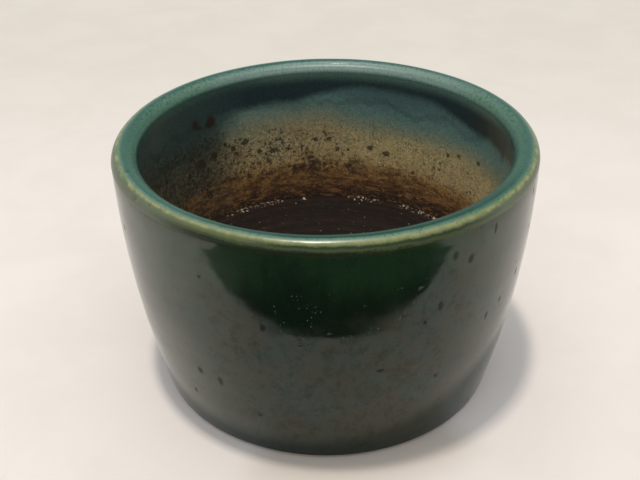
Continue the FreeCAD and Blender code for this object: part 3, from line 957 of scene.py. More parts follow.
@dataclass(frozen=True)
class PotShape:
    """Curves of the pot's section in millimetres, the same as the CAD model's.

    Attributes:
        rim_radius: outside radius at the shoulder.
        foot_radius: outside radius carried down to the ground.
        shoulder: height at which the lip starts.
        crest_round: radius over the top of the lip.
        slope: fall of the lip towards the mouth, in degrees.
        nose_round: radius at the lip's inner edge.
        belly_radius: largest radius inside.
        belly_height: height of that radius.
        floor: height of the raised floor.
        slab_radius: radius of the floor slab.
        slab_base: height of the slab's underside.
        ledge_radius: inside radius of the slab's ledge.
        ledge_base: height at which the ledge's upright face ends.
        foot_inside: inside radius of the foot ring.
        foot_bevel: bevel of the foot ring.
        coat: thickness of a glaze coat.
        drain_radius: radius of the drain hole.
    """

    rim_radius: float = 90.0
    foot_radius: float = 76.5
    shoulder: float = 109.0
    crest_round: float = 5.0
    slope: float = 50.0
    nose_round: float = 2.5
    belly_radius: float = 82.6
    belly_height: float = 78.0
    floor: float = 39.5
    slab_radius: float = 78.4
    slab_base: float = 31.5
    ledge_radius: float = 74.0
    ledge_base: float = 22.5
    foot_inside: float = 67.5
    foot_bevel: float = 1.0
    coat: float = 0.6
    drain_radius: float = 12.0

    @staticmethod
    def arc_radius(swell: float, rise: float) -> float:
        """Radius of an arc that starts upright.

        Args:
            swell: how far it moves sideways.
            rise: over which height.

        Returns:
            The radius.
        """
        return (swell**2 + rise**2) / (2 * swell)

    def wall(self, skin: float, low: float, high: float, count: int = 60) -> Profile:
        """The outer curve.

        Args:
            skin: depth below the finished glaze.
            low: lowest height.
            high: highest height.
            count: number of points.

        Returns:
            Points from low to high.
        """
        radius = self.arc_radius(self.rim_radius - self.foot_radius, self.shoulder)
        return [(self.rim_radius - radius + math.sqrt((radius - skin)**2 - (z - self.shoulder)**2), z)
                for z in np.linspace(low, high, count)]

    def mouth(self, skin: float, low: float, count: int = 40) -> tuple[Profile, Profile]:
        """The lip and the inner wall.

        Args:
            skin: depth below the finished glaze.
            low: height at which the inner wall ends.
            count: number of points on each arc.

        Returns:
            The lip from shoulder to mouth, and the wall from mouth to low.
        """
        slope = math.radians(self.slope)
        outward = Vector((-math.sin(slope), math.cos(slope)))
        downhill = Vector((-math.cos(slope), -math.sin(slope)))
        crest = Vector((self.rim_radius - self.crest_round, self.shoulder))
        belly_arc = self.arc_radius(self.belly_radius - self.slab_radius, self.belly_height - self.floor)
        belly = Vector((self.belly_radius - belly_arc, self.belly_height))
        near = crest + outward * (self.crest_round - self.nose_round)
        reach = belly_arc - self.coat + self.nose_round
        across = (near - belly).dot(downhill)
        nose = near + downhill * (-across - math.sqrt(
            across**2 - (near - belly).length_squared + reach**2))
        turned = math.pi / 2 + slope
        inward = math.atan2(*reversed(belly - nose)) % (2 * math.pi)
        face = belly_arc - self.coat + skin
        low_angle = math.asin((low - belly.y) / face)

        def arc(centre: Vector, radius: float, first: float, last: float) -> Profile:
            """Points on an arc.

            Args:
                centre: its centre.
                radius: its radius.
                first: first angle in radians.
                last: last angle in radians.

            Returns:
                The points.
            """
            return [(centre.x + radius * math.cos(a), centre.y + radius * math.sin(a))
                    for a in np.linspace(first, last, count)]

        lip = arc(crest, self.crest_round - skin, 0.0, turned)
        lip += arc(nose, self.nose_round - skin, turned, inward)
        return lip, arc(belly, face, inward - math.pi, low_angle)


@dataclass(frozen=True)
class Relief:
    """Hand-made unevenness, always cut inwards so that a piece stays within its CAD size.

    Attributes:
        lump_size: size of the broad lumps in millimetres.
        lump_height: their height.
        ring_pitch: distance between throwing rings.
        ring_height: height of the rings.
        grit_size: size of the finest bumps.
        grit_height: their height.
        sink_line: height below which a coat thins out, or 0 for none.
        sink_wander: how far that line wanders up and down.
        sink_depth: how far the coat sinks under the clay below the line.
        dents: finger dents once round the piece, or 0 for none.
        dent_depth: their depth.
    """

    lump_size: float = 60.0
    lump_height: float = 0.20
    ring_pitch: float = 9.0
    ring_height: float = 0.05
    grit_size: float = 2.4
    grit_height: float = 0.0
    sink_line: float = 0.0
    sink_wander: float = 0.0
    sink_depth: float = 0.0
    dents: float = 0.0
    dent_depth: float = 0.0


@dataclass(frozen=True)
class Chip:
    """A small nick in the glaze.

    Attributes:
        turn: angle round the pot in degrees.
        radius: distance from the axis in millimetres.
        height: height in millimetres.
        size: radius of the nick.
        depth: its depth.
    """

    turn: float
    radius: float
    height: float
    size: float
    depth: float

    def centre(self) -> Vector:
        """Its centre in millimetres.

        Returns:
            The centre.
        """
        turn = math.radians(self.turn)
        return Vector((self.radius * math.cos(turn), self.radius * math.sin(turn), self.height))


CHIPS = (
    Chip(215.5, 89.4, 111.9, 1.5, 0.7),
    Chip(203.5, 85.5, 113.9, 1.9, 0.25),
    Chip(313.8, 89.5, 111.5, 1.3, 0.7),
)


class TurnedTree:
    """Geometry Nodes tree that turns a section once round the axis and roughens it by hand."""

    NAME = "turned_piece"
    INWARD = "inward"
    CORNER = 0.6
    SEAM_GAP = 0.004

    def __init__(self) -> None:
        """Builds the tree once."""
        self.tree = bpy.data.node_groups.new(self.NAME, "GeometryNodeTree")
        self.graph = Graph(self.tree)
        face = self.tree.interface
        face.new_socket("Geometry", in_out="INPUT", socket_type="NodeSocketGeometry")
        face.new_socket("Section", in_out="INPUT", socket_type="NodeSocketObject")
        for name in ("Steps Round", "Steps Along"):
            face.new_socket(name, in_out="INPUT", socket_type="NodeSocketInt")
        for name in ("Lump Size", "Lump Height", "Ring Pitch", "Ring Height", "Grit Size",
                     "Grit Height", "Sink Line", "Sink Wander", "Sink Depth", "Dents", "Dent Depth",
                     "Chip Depth"):
            face.new_socket(name, in_out="INPUT", socket_type="NodeSocketFloat")
        face.new_socket("Finish", in_out="INPUT", socket_type="NodeSocketMaterial")
        face.new_socket("Geometry", in_out="OUTPUT", socket_type="NodeSocketGeometry")
        self.entry = self.graph.node("NodeGroupInput").outputs
        turned = self.turn()
        uneven = self.roughen(turned)
        smooth = self.graph.node("GeometryNodeSetShadeSmooth", {"Geometry": uneven})
        corner = self.graph.maths("GREATER_THAN", self.graph.node(
            "GeometryNodeInputMeshEdgeAngle").outputs[0], self.CORNER)
        creased = self.graph.node("GeometryNodeSetShadeSmooth", {
            "Geometry": smooth.outputs[0], "Selection": corner, "Shade Smooth": False}, domain="EDGE")
        real = self.graph.node("GeometryNodeRealizeInstances", {"Geometry": creased.outputs[0]})
        dressed = self.graph.node("GeometryNodeSetMaterial", {
            "Geometry": real.outputs[0], "Material": self.entry["Finish"]})
        self.graph.node("NodeGroupOutput", {0: dressed.outputs[0]})

    def turn(self) -> Socket:
        """Wraps a grid round the axis with the section as its generating line.

        Returns:
            The turned surface, closed into a ring.
        """
        graph = self.graph
        section = graph.node("GeometryNodeObjectInfo", {"Object": self.entry["Section"]})
        grid = graph.node("GeometryNodeMeshGrid", {
            "Size X": 1.0, "Size Y": 1.0,
            "Vertices X": graph.maths("ADD", self.entry["Steps Round"], 1.0),
            "Vertices Y": graph.maths("ADD", self.entry["Steps Along"], 1.0)})
        column, row, _ = graph.separate(graph.term("GeometryNodeInputPosition"))
        index = graph.maths("ROUND", (row + 0.5) * self.entry["Steps Along"])
        inward = graph.term("GeometryNodeInputNamedAttribute", {"Name": self.INWARD},
                            data_type="FLOAT_VECTOR")

        def sample(value: Term) -> Term:
            """Reads a vector from the section's point on this row.

            Args:
                value: the vector field on the section.

            Returns:
                Its value there.
            """
            return graph.term("GeometryNodeSampleIndex", {
                "Geometry": section.outputs["Geometry"], "Value": value, "Index": index},
                data_type="FLOAT_VECTOR", domain="POINT")

        radius, _, height = graph.separate(sample(graph.term("GeometryNodeInputPosition")))
        angle = (column + 0.5) * FULL_TURN
        spot = graph.combine(radius * graph.maths("COSINE", angle), radius * graph.maths("SINE", angle),
                             height)
        out, _, up = graph.separate(sample(inward))
        towards = graph.combine(out * graph.maths("COSINE", angle), out * graph.maths("SINE", angle), up)
        kept = graph.term("GeometryNodeStoreNamedAttribute", {
            "Geometry": grid.outputs[0], "Name": self.INWARD, "Value": towards},
            data_type="FLOAT_VECTOR", domain="POINT")
        placed = graph.term("GeometryNodeSetPosition", {"Geometry": kept, "Position": spot})
        return graph.term("GeometryNodeMergeByDistance", {
            "Geometry": placed, "Distance": self.SEAM_GAP * MM})

    def roughen(self, geometry: Socket) -> Socket:
        """Moves each point inwards by its share of the relief.

        Args:
            geometry: the turned surface.

        Returns:
            The uneven surface.
        """
        graph, entry = self.graph, self.entry
        place = graph.vector("SCALE", graph.term("GeometryNodeInputPosition"), scale=1.0 / MM)
        x, y, z = graph.separate(place)
        radius = graph.vector("LENGTH", graph.combine(x, y, 0.0))
        angle = graph.maths("ARCTAN2", y, x)

        def layer(vector: Term, size: Socket, height: Socket, detail: float) -> Term:
            """Noise that cuts between 0 and its full height.

            Args:
                vector: position in millimetres.
                size: size of the features.
                height: largest cut.
                detail: number of octaves.

            Returns:
                The cut in millimetres.
            """
            noise = graph.term("ShaderNodeTexNoise", {
                "Vector": vector, "Scale": graph.maths("DIVIDE", 1.0, size), "Detail": detail})
            return graph.step(noise, 0.25, 0.75) * height

        cut = layer(place, entry["Lump Size"], entry["Lump Height"], 2.0)
        rings = graph.combine(radius * 0.7, angle * 1.2, z)
        cut += layer(rings, entry["Ring Pitch"], entry["Ring Height"], 1.0)
        cut += layer(place, entry["Grit Size"], entry["Grit Height"], 3.0)
        wave = graph.maths("COSINE", angle * entry["Dents"])
        dent = (wave * 0.5 + 0.5) * entry["Dent Depth"]
        cut += dent
        wander = graph.noise(graph.combine(x, y, 0.0), 18.0, 4.0)
        line = entry["Sink Line"] + (wander - 0.5) * entry["Sink Wander"]
        below = graph.step(z - line, -3.0, 4.0, 1.0, 0.0)
        cut += below * entry["Sink Depth"]
        for chip in CHIPS:
            gap = graph.vector("DISTANCE", place, tuple(chip.centre()))
            near = graph.step(gap, chip.size * 0.3, chip.size, 1.0, 0.0)
            cut += near * graph.maths("MULTIPLY", entry["Chip Depth"], chip.depth)
        inward = graph.term("GeometryNodeInputNamedAttribute", {"Name": self.INWARD},
                            data_type="FLOAT_VECTOR")
        shift = graph.vector("SCALE", inward, scale=cut * MM)
        moved = graph.node("GeometryNodeSetPosition", {"Geometry": geometry, "Offset": shift})
        return graph.node("GeometryNodeRemoveAttribute", {
            "Geometry": moved.outputs[0], "Name": self.INWARD}).outputs[0]


def fill_inputs(modifier: bpy.types.Modifier, values: dict[str, Any]) -> None:
    """Sets a Geometry Nodes modifier's inputs by name.

    Args:
        modifier: the modifier.
        values: value for each named input.
    """
    for item in modifier.node_group.interface.items_tree:
        if item.in_out == "INPUT" and item.name in values:
            modifier[item.identifier] = values[item.name]


def bake(name: str, tree: bpy.types.NodeTree, values: dict[str, Any]) -> bpy.types.Object:
    """Runs a Geometry Nodes tree once and keeps its result as a plain mesh.

    Args:
        name: the finished object's name.
        tree: the tree.
        values: its inputs by name.

    Returns:
        The finished object, at the origin.
    """
    carrier = bpy.data.objects.new(name, bpy.data.meshes.new(name + "_seed"))
    bpy.context.scene.collection.objects.link(carrier)
    modifier = carrier.modifiers.new("make", "NODES")
    modifier.node_group = tree
    fill_inputs(modifier, values)
    bpy.context.view_layer.update()
    evaluated = carrier.evaluated_get(bpy.context.evaluated_depsgraph_get())
    mesh = bpy.data.meshes.new_from_object(evaluated)
    carrier.modifiers.remove(modifier)
    carrier.data = mesh
    mesh.name = name
    return carrier


def signed_volume(mesh: bpy.types.Mesh) -> float:
    """Volume inside a closed mesh, negative when its faces look inwards.

    Args:
        mesh: the mesh.

    Returns:
        The signed volume.
    """
    mesh.calc_loop_triangles()
    points = np.empty(len(mesh.vertices) * 3)
    mesh.vertices.foreach_get("co", points)
    corners = np.empty(len(mesh.loop_triangles) * 3, dtype=np.int64)
    mesh.loop_triangles.foreach_get("vertices", corners)
    triangles = points.reshape(-1, 3)[corners.reshape(-1, 3)]
    return float(np.einsum("ij,ij->i", triangles[:, 0],
                           np.cross(triangles[:, 1], triangles[:, 2])).sum() / 6.0)


@dataclass
class Turnery:
    """Makes turned pieces from closed sections.

    Attributes:
        tree: the shared tree.
        round_steps: faces once round the axis.
        step: longest step along a section in millimetres.
    """

    tree: TurnedTree
    round_steps: int = 480
    step: float = 1.9

    def make(self, name: str, face: Profile, relief: Relief, finish: Finish,
             back: Sequence[tuple[float, float]] = (), chips: float = 0.0) -> bpy.types.Object:
        """Turns one piece.

        Args:
            name: the piece's name.
            face: the open part of its section, anticlockwise with the radius to the right.
            relief: the unevenness of its face.
            finish: its finish.
            back: the hidden part of its section, in the same direction as the face.
            chips: 1 to cut the chips into it.

        Returns:
            The finished piece.
        """
        guide = self.section_line(name + "_section", face, back)
        piece = bake(name, self.tree.tree, {
            "Section": guide, "Steps Round": self.round_steps, "Steps Along": len(guide.data.edges),
            "Lump Size": relief.lump_size, "Lump Height": relief.lump_height,
            "Ring Pitch": relief.ring_pitch, "Ring Height": relief.ring_height,
            "Grit Size": relief.grit_size, "Grit Height": relief.grit_height,
            "Sink Line": relief.sink_line, "Sink Wander": relief.sink_wander,
            "Sink Depth": relief.sink_depth, "Dents": relief.dents, "Dent Depth": relief.dent_depth,
            "Chip Depth": chips, "Finish": finish.build()})
        bpy.data.objects.remove(guide)
        volume = signed_volume(piece.data)
        if volume < 0:
            raise ValueError(f"{name} is inside out")
        LOG.info("%s: %d faces, %.1f cm3", name, len(piece.data.polygons), volume * 1e6)
        return piece

    def section_line(self, name: str, face: Profile, back: Profile) -> bpy.types.Object:
        """A closed section as a chain of edges in the X-Z plane, with each point's way inwards.

        Args:
            name: the object's name.
            face: the open part of the section.
            back: its hidden part, which shares the face's way inwards; empty for a solid piece.

        Returns:
            The chain, whose last point lies on its first.
        """
        if back:
            face = self.finer(face)
            back = self.finer(back)
            inward = self.left_hand(face, closed=False)
            inward += list(reversed(self.left_hand(back, closed=False)))
        else:
            face = self.finer([*face, face[0]])[:-1]
            inward = self.left_hand(face, closed=True)
        section = [*face, *reversed(back)]
        section.append(section[0])
        inward.append(inward[0])
        mesh = bpy.data.meshes.new(name)
        mesh.from_pydata([(radius * MM, 0.0, height * MM) for radius, height in section],
                         [(i, i + 1) for i in range(len(section) - 1)], [])
        ways = mesh.attributes.new(TurnedTree.INWARD, "FLOAT_VECTOR", "POINT")
        ways.data.foreach_set("vector", [part for way in inward for part in (way.x, 0.0, way.y)])
        guide = bpy.data.objects.new(name, mesh)
        bpy.context.scene.collection.objects.link(guide)
        return guide

    def finer(self, line: Profile) -> Profile:
        """A line with points added so that none of its steps is too long.

        Args:
            line: the points.

        Returns:
            The points with those added between them.
        """
        points = [tuple(line[0])]
        for first, last in zip(line, line[1:]):
            parts = math.ceil(math.dist(first, last) / self.step)
            points += [tuple(Vector(first).lerp(Vector(last), part / parts))
                       for part in range(1, parts + 1)]
        return points

    @staticmethod
    def left_hand(line: Profile, closed: bool) -> list[Vector]:
        """Unit vectors to the left of a line at each of its points.

        Args:
            line: the points.
            closed: whether the last point runs on into the first.

        Returns:
            One vector for each point.
        """
        points = [Vector(point) for point in line]
        ways = []
        for place, point in enumerate(points):
            before = points[place - 1] if place or closed else point
            after = points[(place + 1) % len(points)] if place + 1 < len(points) or closed else point
            run = (point - before).normalized() + (after - point).normalized()
            ways.append(Vector((-run.y, run.x)).normalized())
        return ways


# ---------------------------------------------------------------- the pot's pieces


def settle(piece: bpy.types.Object, slot: str, *nodes: str) -> None:
    """Ties a piece to the frame.

    Args:
        piece: the finished piece.
        slot: the record's material slot; not used.
        nodes: the CAD nodes that it stands for.
    """
    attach(piece, "root")
    if nodes:
        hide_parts(*nodes)


@dataclass
class ClayBody:
    """Wall, floor slab and seam coil.

    Attributes:
        shape: the section's curves.
        turnery: makes turned pieces.
        hand: relief shared by the wall and by the coats on it.
        coil_leg: leg of the coil's section in millimetres.
    """

    shape: PotShape
    turnery: Turnery
    hand: Relief
    coil_leg: float = 4.5

    def wall(self) -> None:
        """Turns the wall with its lip, ledge and foot ring."""
        s = self.shape
        lip = s.mouth(s.coat, s.floor, 20)[0]
        inside = s.mouth(s.coat, s.floor, 76)[1]
        foot = s.wall(s.coat, s.foot_bevel, s.shoulder)
        section = [(s.foot_inside + s.foot_bevel, 0.0), (foot[0][0] - s.foot_bevel, 0.0), *foot,
                   *lip[1:], *inside[1:], (s.slab_radius, s.slab_base), (s.ledge_radius, s.slab_base),
                   (s.ledge_radius, s.ledge_base), (s.foot_inside, s.foot_bevel)]
        piece = self.turnery.make("clay_wall", section, self.hand, InsideWall("stained_wall"))
        settle(piece, "fired_clay", "pot_wall")

    def slab(self) -> None:
        """Turns the raised floor with tool rings and the drain hole."""
        s = self.shape
        section = [(s.slab_radius, s.slab_base), (s.slab_radius, s.floor)]
        section += [(r, s.floor) for r in np.linspace(s.slab_radius, s.drain_radius + 1.0, 119)[1:]]
        section += [(s.drain_radius + 1.0 - math.sin(a), s.floor - 1.0 + math.cos(a))
                    for a in np.linspace(0.2, math.pi / 2, 8)]
        section += [(s.drain_radius, s.slab_base)]
        relief = Relief(lump_size=30.0, lump_height=0.35, ring_pitch=3.0, ring_height=0.5,
                        grit_size=1.6, grit_height=0.25)
        piece = self.turnery.make("floor_clay", section, relief, FloorClay("stained_floor"))
        settle(piece, "floor_clay", "floor_slab")

    def coil(self) -> None:
        """Turns the seam coil with the dents of the potter's fingers."""
        s = self.shape
        leg = self.coil_leg
        section = [(s.ledge_radius, s.slab_base), (s.ledge_radius - leg, s.slab_base)]
        section += [(s.ledge_radius - leg + leg * math.sin(a), s.slab_base - leg + leg * math.cos(a))
                    for a in np.linspace(0.15, math.pi / 2, 10)]
        relief = Relief(lump_size=12.0, lump_height=0.06, ring_height=0.0, dents=46.0,
                        dent_depth=0.12, grit_size=1.5, grit_height=0.05)
        piece = self.turnery.make("coil_clay", section, relief, FloorClay("coil_clay", paleness=0.8))
        settle(piece, "floor_clay", "seam_coil")


@dataclass
class GlazeCoats:
    """The three coats of glaze.

    Attributes:
        shape: the section's curves.
        turnery: makes turned pieces.
        hand: relief shared with the clay wall.
        bed: how far below its face each coat reaches, in millimetres.
        crease: depth of the crease under the lip.
        crease_reach: how far below the lip it fades out.
        outer_low: height at which the outer coat ends.
        inner_low: height at which the inner coat ends.
    """

    shape: PotShape
    turnery: Turnery
    hand: Relief
    bed: float = 1.1
    crease: float = 0.22
    crease_reach: float = 4.5
    outer_low: float = 1.8
    inner_low: float = 82.0

    def outside(self) -> None:
        """Turns the coat on the outer wall, with a shallow crease under the lip."""
        s = self.shape
        low = self.outer_low
        face = [(r - self.crease * max(0.0, 1.0 - (s.shoulder - z) / self.crease_reach)**2, z)
                for r, z in s.wall(0.0, low, s.shoulder, 120)]
        piece = self.turnery.make(
            "outer_glaze_coat", face, self.hand, GreenGlaze("green_glaze"),
            back=s.wall(self.bed, low - 0.3, s.shoulder))
        settle(piece, "green_glaze", "outer_glaze")

    def lip(self) -> None:
        """Turns the coat rolled over the lip."""
        s = self.shape
        piece = self.turnery.make(
            "lip_glaze_coat", s.mouth(0.0, s.floor)[0], self.hand, LipGlaze("lip_glaze"),
            back=s.mouth(self.bed, s.floor)[0], chips=1.0)
        settle(piece, "lip_glaze", "lip_glaze")

    def inside(self) -> None:
        """Turns the coat inside the mouth, which thins out down the wall."""
        s = self.shape
        low = self.inner_low
        relief = Relief(self.hand.lump_size, self.hand.lump_height, self.hand.ring_pitch,
                        self.hand.ring_height, sink_line=91.0, sink_wander=26.0, sink_depth=0.8)
        piece = self.turnery.make(
            "inner_glaze_coat", s.mouth(0.0, low)[1], relief,
            InsideWall("inner_glaze", glazed=True), back=s.mouth(self.bed, low)[1])
        settle(piece, "inner_glaze", "inner_glaze")


@dataclass
class DrainFittings:
    """The soil screen and its keeper wire.

    Attributes:
        shape: the section's curves.
        openings: openings along one side of the screen.
        pitch: distance between openings in millimetres.
        strand: width of a strand in millimetres.
        thickness: thickness of the screen in millimetres.
        seat: clearance under the screen in millimetres.
    """

    shape: PotShape
    openings: int = 11
    pitch: float = 3.5
    strand: float = 1.0
    thickness: float = 1.2
    seat: float = 0.1

    def strands(self, graph: Graph, plane: Plane, finish: Socket) -> Socket:
        """One set of parallel strands with rounded edges.

        Args:
            graph: the tree's graph.
            plane: the axis that the strands run along.
            finish: the material.

        Returns:
            The strands as real geometry.
        """
        half = self.openings * self.pitch / 2
        reach = half + self.strand / 2
        height = self.shape.floor + self.seat + self.thickness / 2
        turned = plane is Plane.ALONG_Y
        ends = [Vector((side * reach, 0.0, 0.0)) for side in (-1, 1)]
        first = Vector((0.0, -half, height))
        offset = Vector((0.0, self.pitch, 0.0))
        if turned:
            ends = [Vector((0.0, end.x, 0.0)) for end in ends]
            first = Vector((-half, 0.0, height))
            offset = Vector((self.pitch, 0.0, 0.0))
        line = graph.node("GeometryNodeCurvePrimitiveLine", {
            "Start": tuple(ends[0] * MM), "End": tuple(ends[1] * MM)})
        outline = graph.node("GeometryNodeCurvePrimitiveQuadrilateral", {
            "Width": self.strand * MM, "Height": self.thickness * MM})
        rounded = graph.node("GeometryNodeFilletCurve", mode="POLY")
        graph.feed(rounded.inputs["Curve"], outline.outputs[0])
        graph.feed(rounded.inputs["Radius"], 0.3 * MM)
        graph.feed(rounded.inputs["Count"], 3)
        rib = graph.node("GeometryNodeCurveToMesh", {
            "Curve": line.outputs[0], "Profile Curve": rounded.outputs[0], "Fill Caps": True})
        row = graph.node("GeometryNodeMeshLine", {
            "Count": self.openings + 1, "Start Location": tuple(first * MM),
            "Offset": tuple(offset * MM)})
        placed = graph.node("GeometryNodeInstanceOnPoints", {
            "Points": row.outputs[0], "Instance": rib.outputs[0]})
        real = graph.node("GeometryNodeRealizeInstances", {"Geometry": placed.outputs[0]})
        return graph.node("GeometryNodeSetMaterial", {
            "Geometry": real.outputs[0], "Material": finish}).outputs[0]

    def screen(self) -> None:
        """Makes the moulded screen from two crossed sets of strands."""
        tree = bpy.data.node_groups.new("screen", "GeometryNodeTree")
        graph = Graph(tree)
        tree.interface.new_socket("Finish", in_out="INPUT", socket_type="NodeSocketMaterial")
        tree.interface.new_socket("Geometry", in_out="OUTPUT", socket_type="NodeSocketGeometry")
        finish = graph.node("NodeGroupInput").outputs["Finish"]
        both = graph.node("GeometryNodeJoinGeometry")
        for plane in Plane:
            graph.feed(both.inputs[0], self.strands(graph, plane, finish))
        graph.node("NodeGroupOutput", {0: both.outputs[0]})
        black = Mottled("screen_plastic", (0.012, 0.012, 0.012), (0.035, 0.030, 0.026), 3.0, (0.35, 0.65))
        piece = bake("soil_screen", tree, {"Finish": black.build()})
        settle(piece, "screen_plastic", "drain_screen")

    def wire(self) -> None:
        """Gives the keeper wire its anodised, scratched finish."""
        brown = Mottled("keeper_wire", (0.16, 0.075, 0.040), (0.34, 0.24, 0.18), 1.1, (0.28, 0.5), 1.0)
        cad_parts["screen_wire"].material_slots[0].material = brown.build()


@dataclass
class Crumbs:
    """Mineral grains and soil crumbs that were left in the pot.

    Attributes:
        shape: the section's curves.
        ring_count: grains tried in the corner between floor and wall.
        loose_count: grains on the open floor.
    """

    shape: PotShape
    ring_count: int = 1500
    loose_count: int = 420

    def scatter(self) -> None:
        """Scatters the grains over the finished floor."""
        tree = bpy.data.node_groups.new("grains", "GeometryNodeTree")
        graph = Graph(tree)
        face = tree.interface
        face.new_socket("Ground", in_out="INPUT", socket_type="NodeSocketObject")
        face.new_socket("Seed", in_out="INPUT", socket_type="NodeSocketInt")
        face.new_socket("Finish", in_out="INPUT", socket_type="NodeSocketMaterial")
        face.new_socket("Geometry", in_out="OUTPUT", socket_type="NodeSocketGeometry")
        entry = graph.node("NodeGroupInput").outputs
        ground = graph.node("GeometryNodeObjectInfo", {"Object": entry["Ground"]}).outputs["Geometry"]

        def chance(salt: int, low: float, high: float) -> Term:
            """A random number for each grain.

            Args:
                salt: tells one use from another.
                low: least value.
                high: greatest value.

            Returns:
                The number.
            """
            seed = graph.maths("ADD", entry["Seed"], float(salt))
            return graph.term("FunctionNodeRandomValue", {2: low, 3: high, "Seed": seed}, 1,
                              data_type="FLOAT")

        def grains(count: int, radius: Socket, salt: int, size: tuple[float, float],
                   kept: Optional[float]) -> Socket:
            """Grains at random angles and the given radius, resting on the floor.

            Args:
                count: grains tried.
                radius: distance from the axis in millimetres.
                salt: tells this set from the other.
                size: least and greatest radius of a grain in millimetres.
                kept: noise level above which a grain stays, or None to keep all.

            Returns:
                The grains as real geometry.
            """
            angle = chance(salt, 0.0, FULL_TURN)
            spot = graph.combine(radius * graph.maths("COSINE", angle),
                                 radius * graph.maths("SINE", angle), self.shape.floor)
            points = graph.node("GeometryNodePoints", {
                "Count": count, "Position": graph.vector("SCALE", spot, scale=MM)}).outputs[0]
            if kept is not None:
                place = graph.vector("SCALE", graph.term("GeometryNodeInputPosition"), scale=1.0 / MM)
                level = graph.noise(place, 13.0, 3.0, 0.6)
                heaps = graph.facing(place, 121.0, 14.0, 8.0) + graph.facing(place, 50.0, 9.0, 6.0)
                bare = graph.facing(place, 88.0, 18.0, 8.0)
                level += heaps * 0.14 - bare * 0.05
                points = graph.node("GeometryNodeDeleteGeometry", {
                    "Geometry": points, "Selection": graph.maths("LESS_THAN", level, kept)},
                    domain="POINT").outputs[0]
            near = graph.node("GeometryNodeProximity", target_element="FACES")
            graph.feed(near.inputs[0], ground)
            seated = graph.node("GeometryNodeSetPosition", {
                "Geometry": points, "Position": near.outputs["Position"]}).outputs[0]
            ball = graph.node("GeometryNodeMeshIcoSphere", {"Radius": MM, "Subdivisions": 2}).outputs[0]
            wobble = graph.node("ShaderNodeTexNoise", {"Scale": 900.0, "Detail": 1.0}).outputs[1]
            rough = graph.vector("SCALE", graph.vector("SUBTRACT", wobble, (0.5, 0.5, 0.5)),
                                 scale=1.1 * MM)
            lump = graph.node("GeometryNodeSetPosition", {"Geometry": ball, "Offset": rough}).outputs[0]
            spin = graph.combine(chance(salt + 1, 0.0, 6.28), chance(salt + 2, 0.0, 6.28),
                                 chance(salt + 3, 0.0, 6.28))
            big = graph.maths("POWER", chance(salt + 4, 0.0, 1.0), 3.0)
            scale = size[0] + big * (size[1] - size[0])
            shape = graph.vector("SCALE", graph.combine(1.0, chance(salt + 5, 0.5, 1.0),
                                                        chance(salt + 6, 0.35, 0.8)), scale=scale)
            placed = graph.node("GeometryNodeInstanceOnPoints", {
                "Points": seated, "Instance": lump, "Rotation": spin, "Scale": shape}).outputs[0]
            return graph.node("GeometryNodeRealizeInstances", {"Geometry": placed}).outputs[0]

        edge = self.shape.slab_radius
        corner = edge - 0.2 - graph.maths("POWER", chance(20, 0.0, 1.0), 2.5) * 3.0
        loose = graph.maths("SQRT", chance(40, 0.05, 1.0)) * (edge - 2.0)
        both = graph.node("GeometryNodeJoinGeometry")
        graph.feed(both.inputs[0], grains(self.ring_count, corner, 50, (0.18, 0.85), 0.50))
        graph.feed(both.inputs[0], grains(self.loose_count, loose, 70, (0.10, 0.42), None))
        dressed = graph.node("GeometryNodeSetMaterial", {
            "Geometry": both.outputs[0], "Material": entry["Finish"]})
        graph.node("NodeGroupOutput", {0: dressed.outputs[0]})
        pale = Mottled("mineral_grains", (0.62, 0.52, 0.42), (0.20, 0.11, 0.06), 3.2, (0.5, 0.8))
        piece = bake("soil_grains", tree, {
            "Ground": bpy.data.objects["floor_clay"], "Seed": 7, "Finish": pale.build()})
        LOG.info("soil_grains: %d faces", len(piece.data.polygons))
        settle(piece, "floor_clay")


# ---------------------------------------------------------------- stage


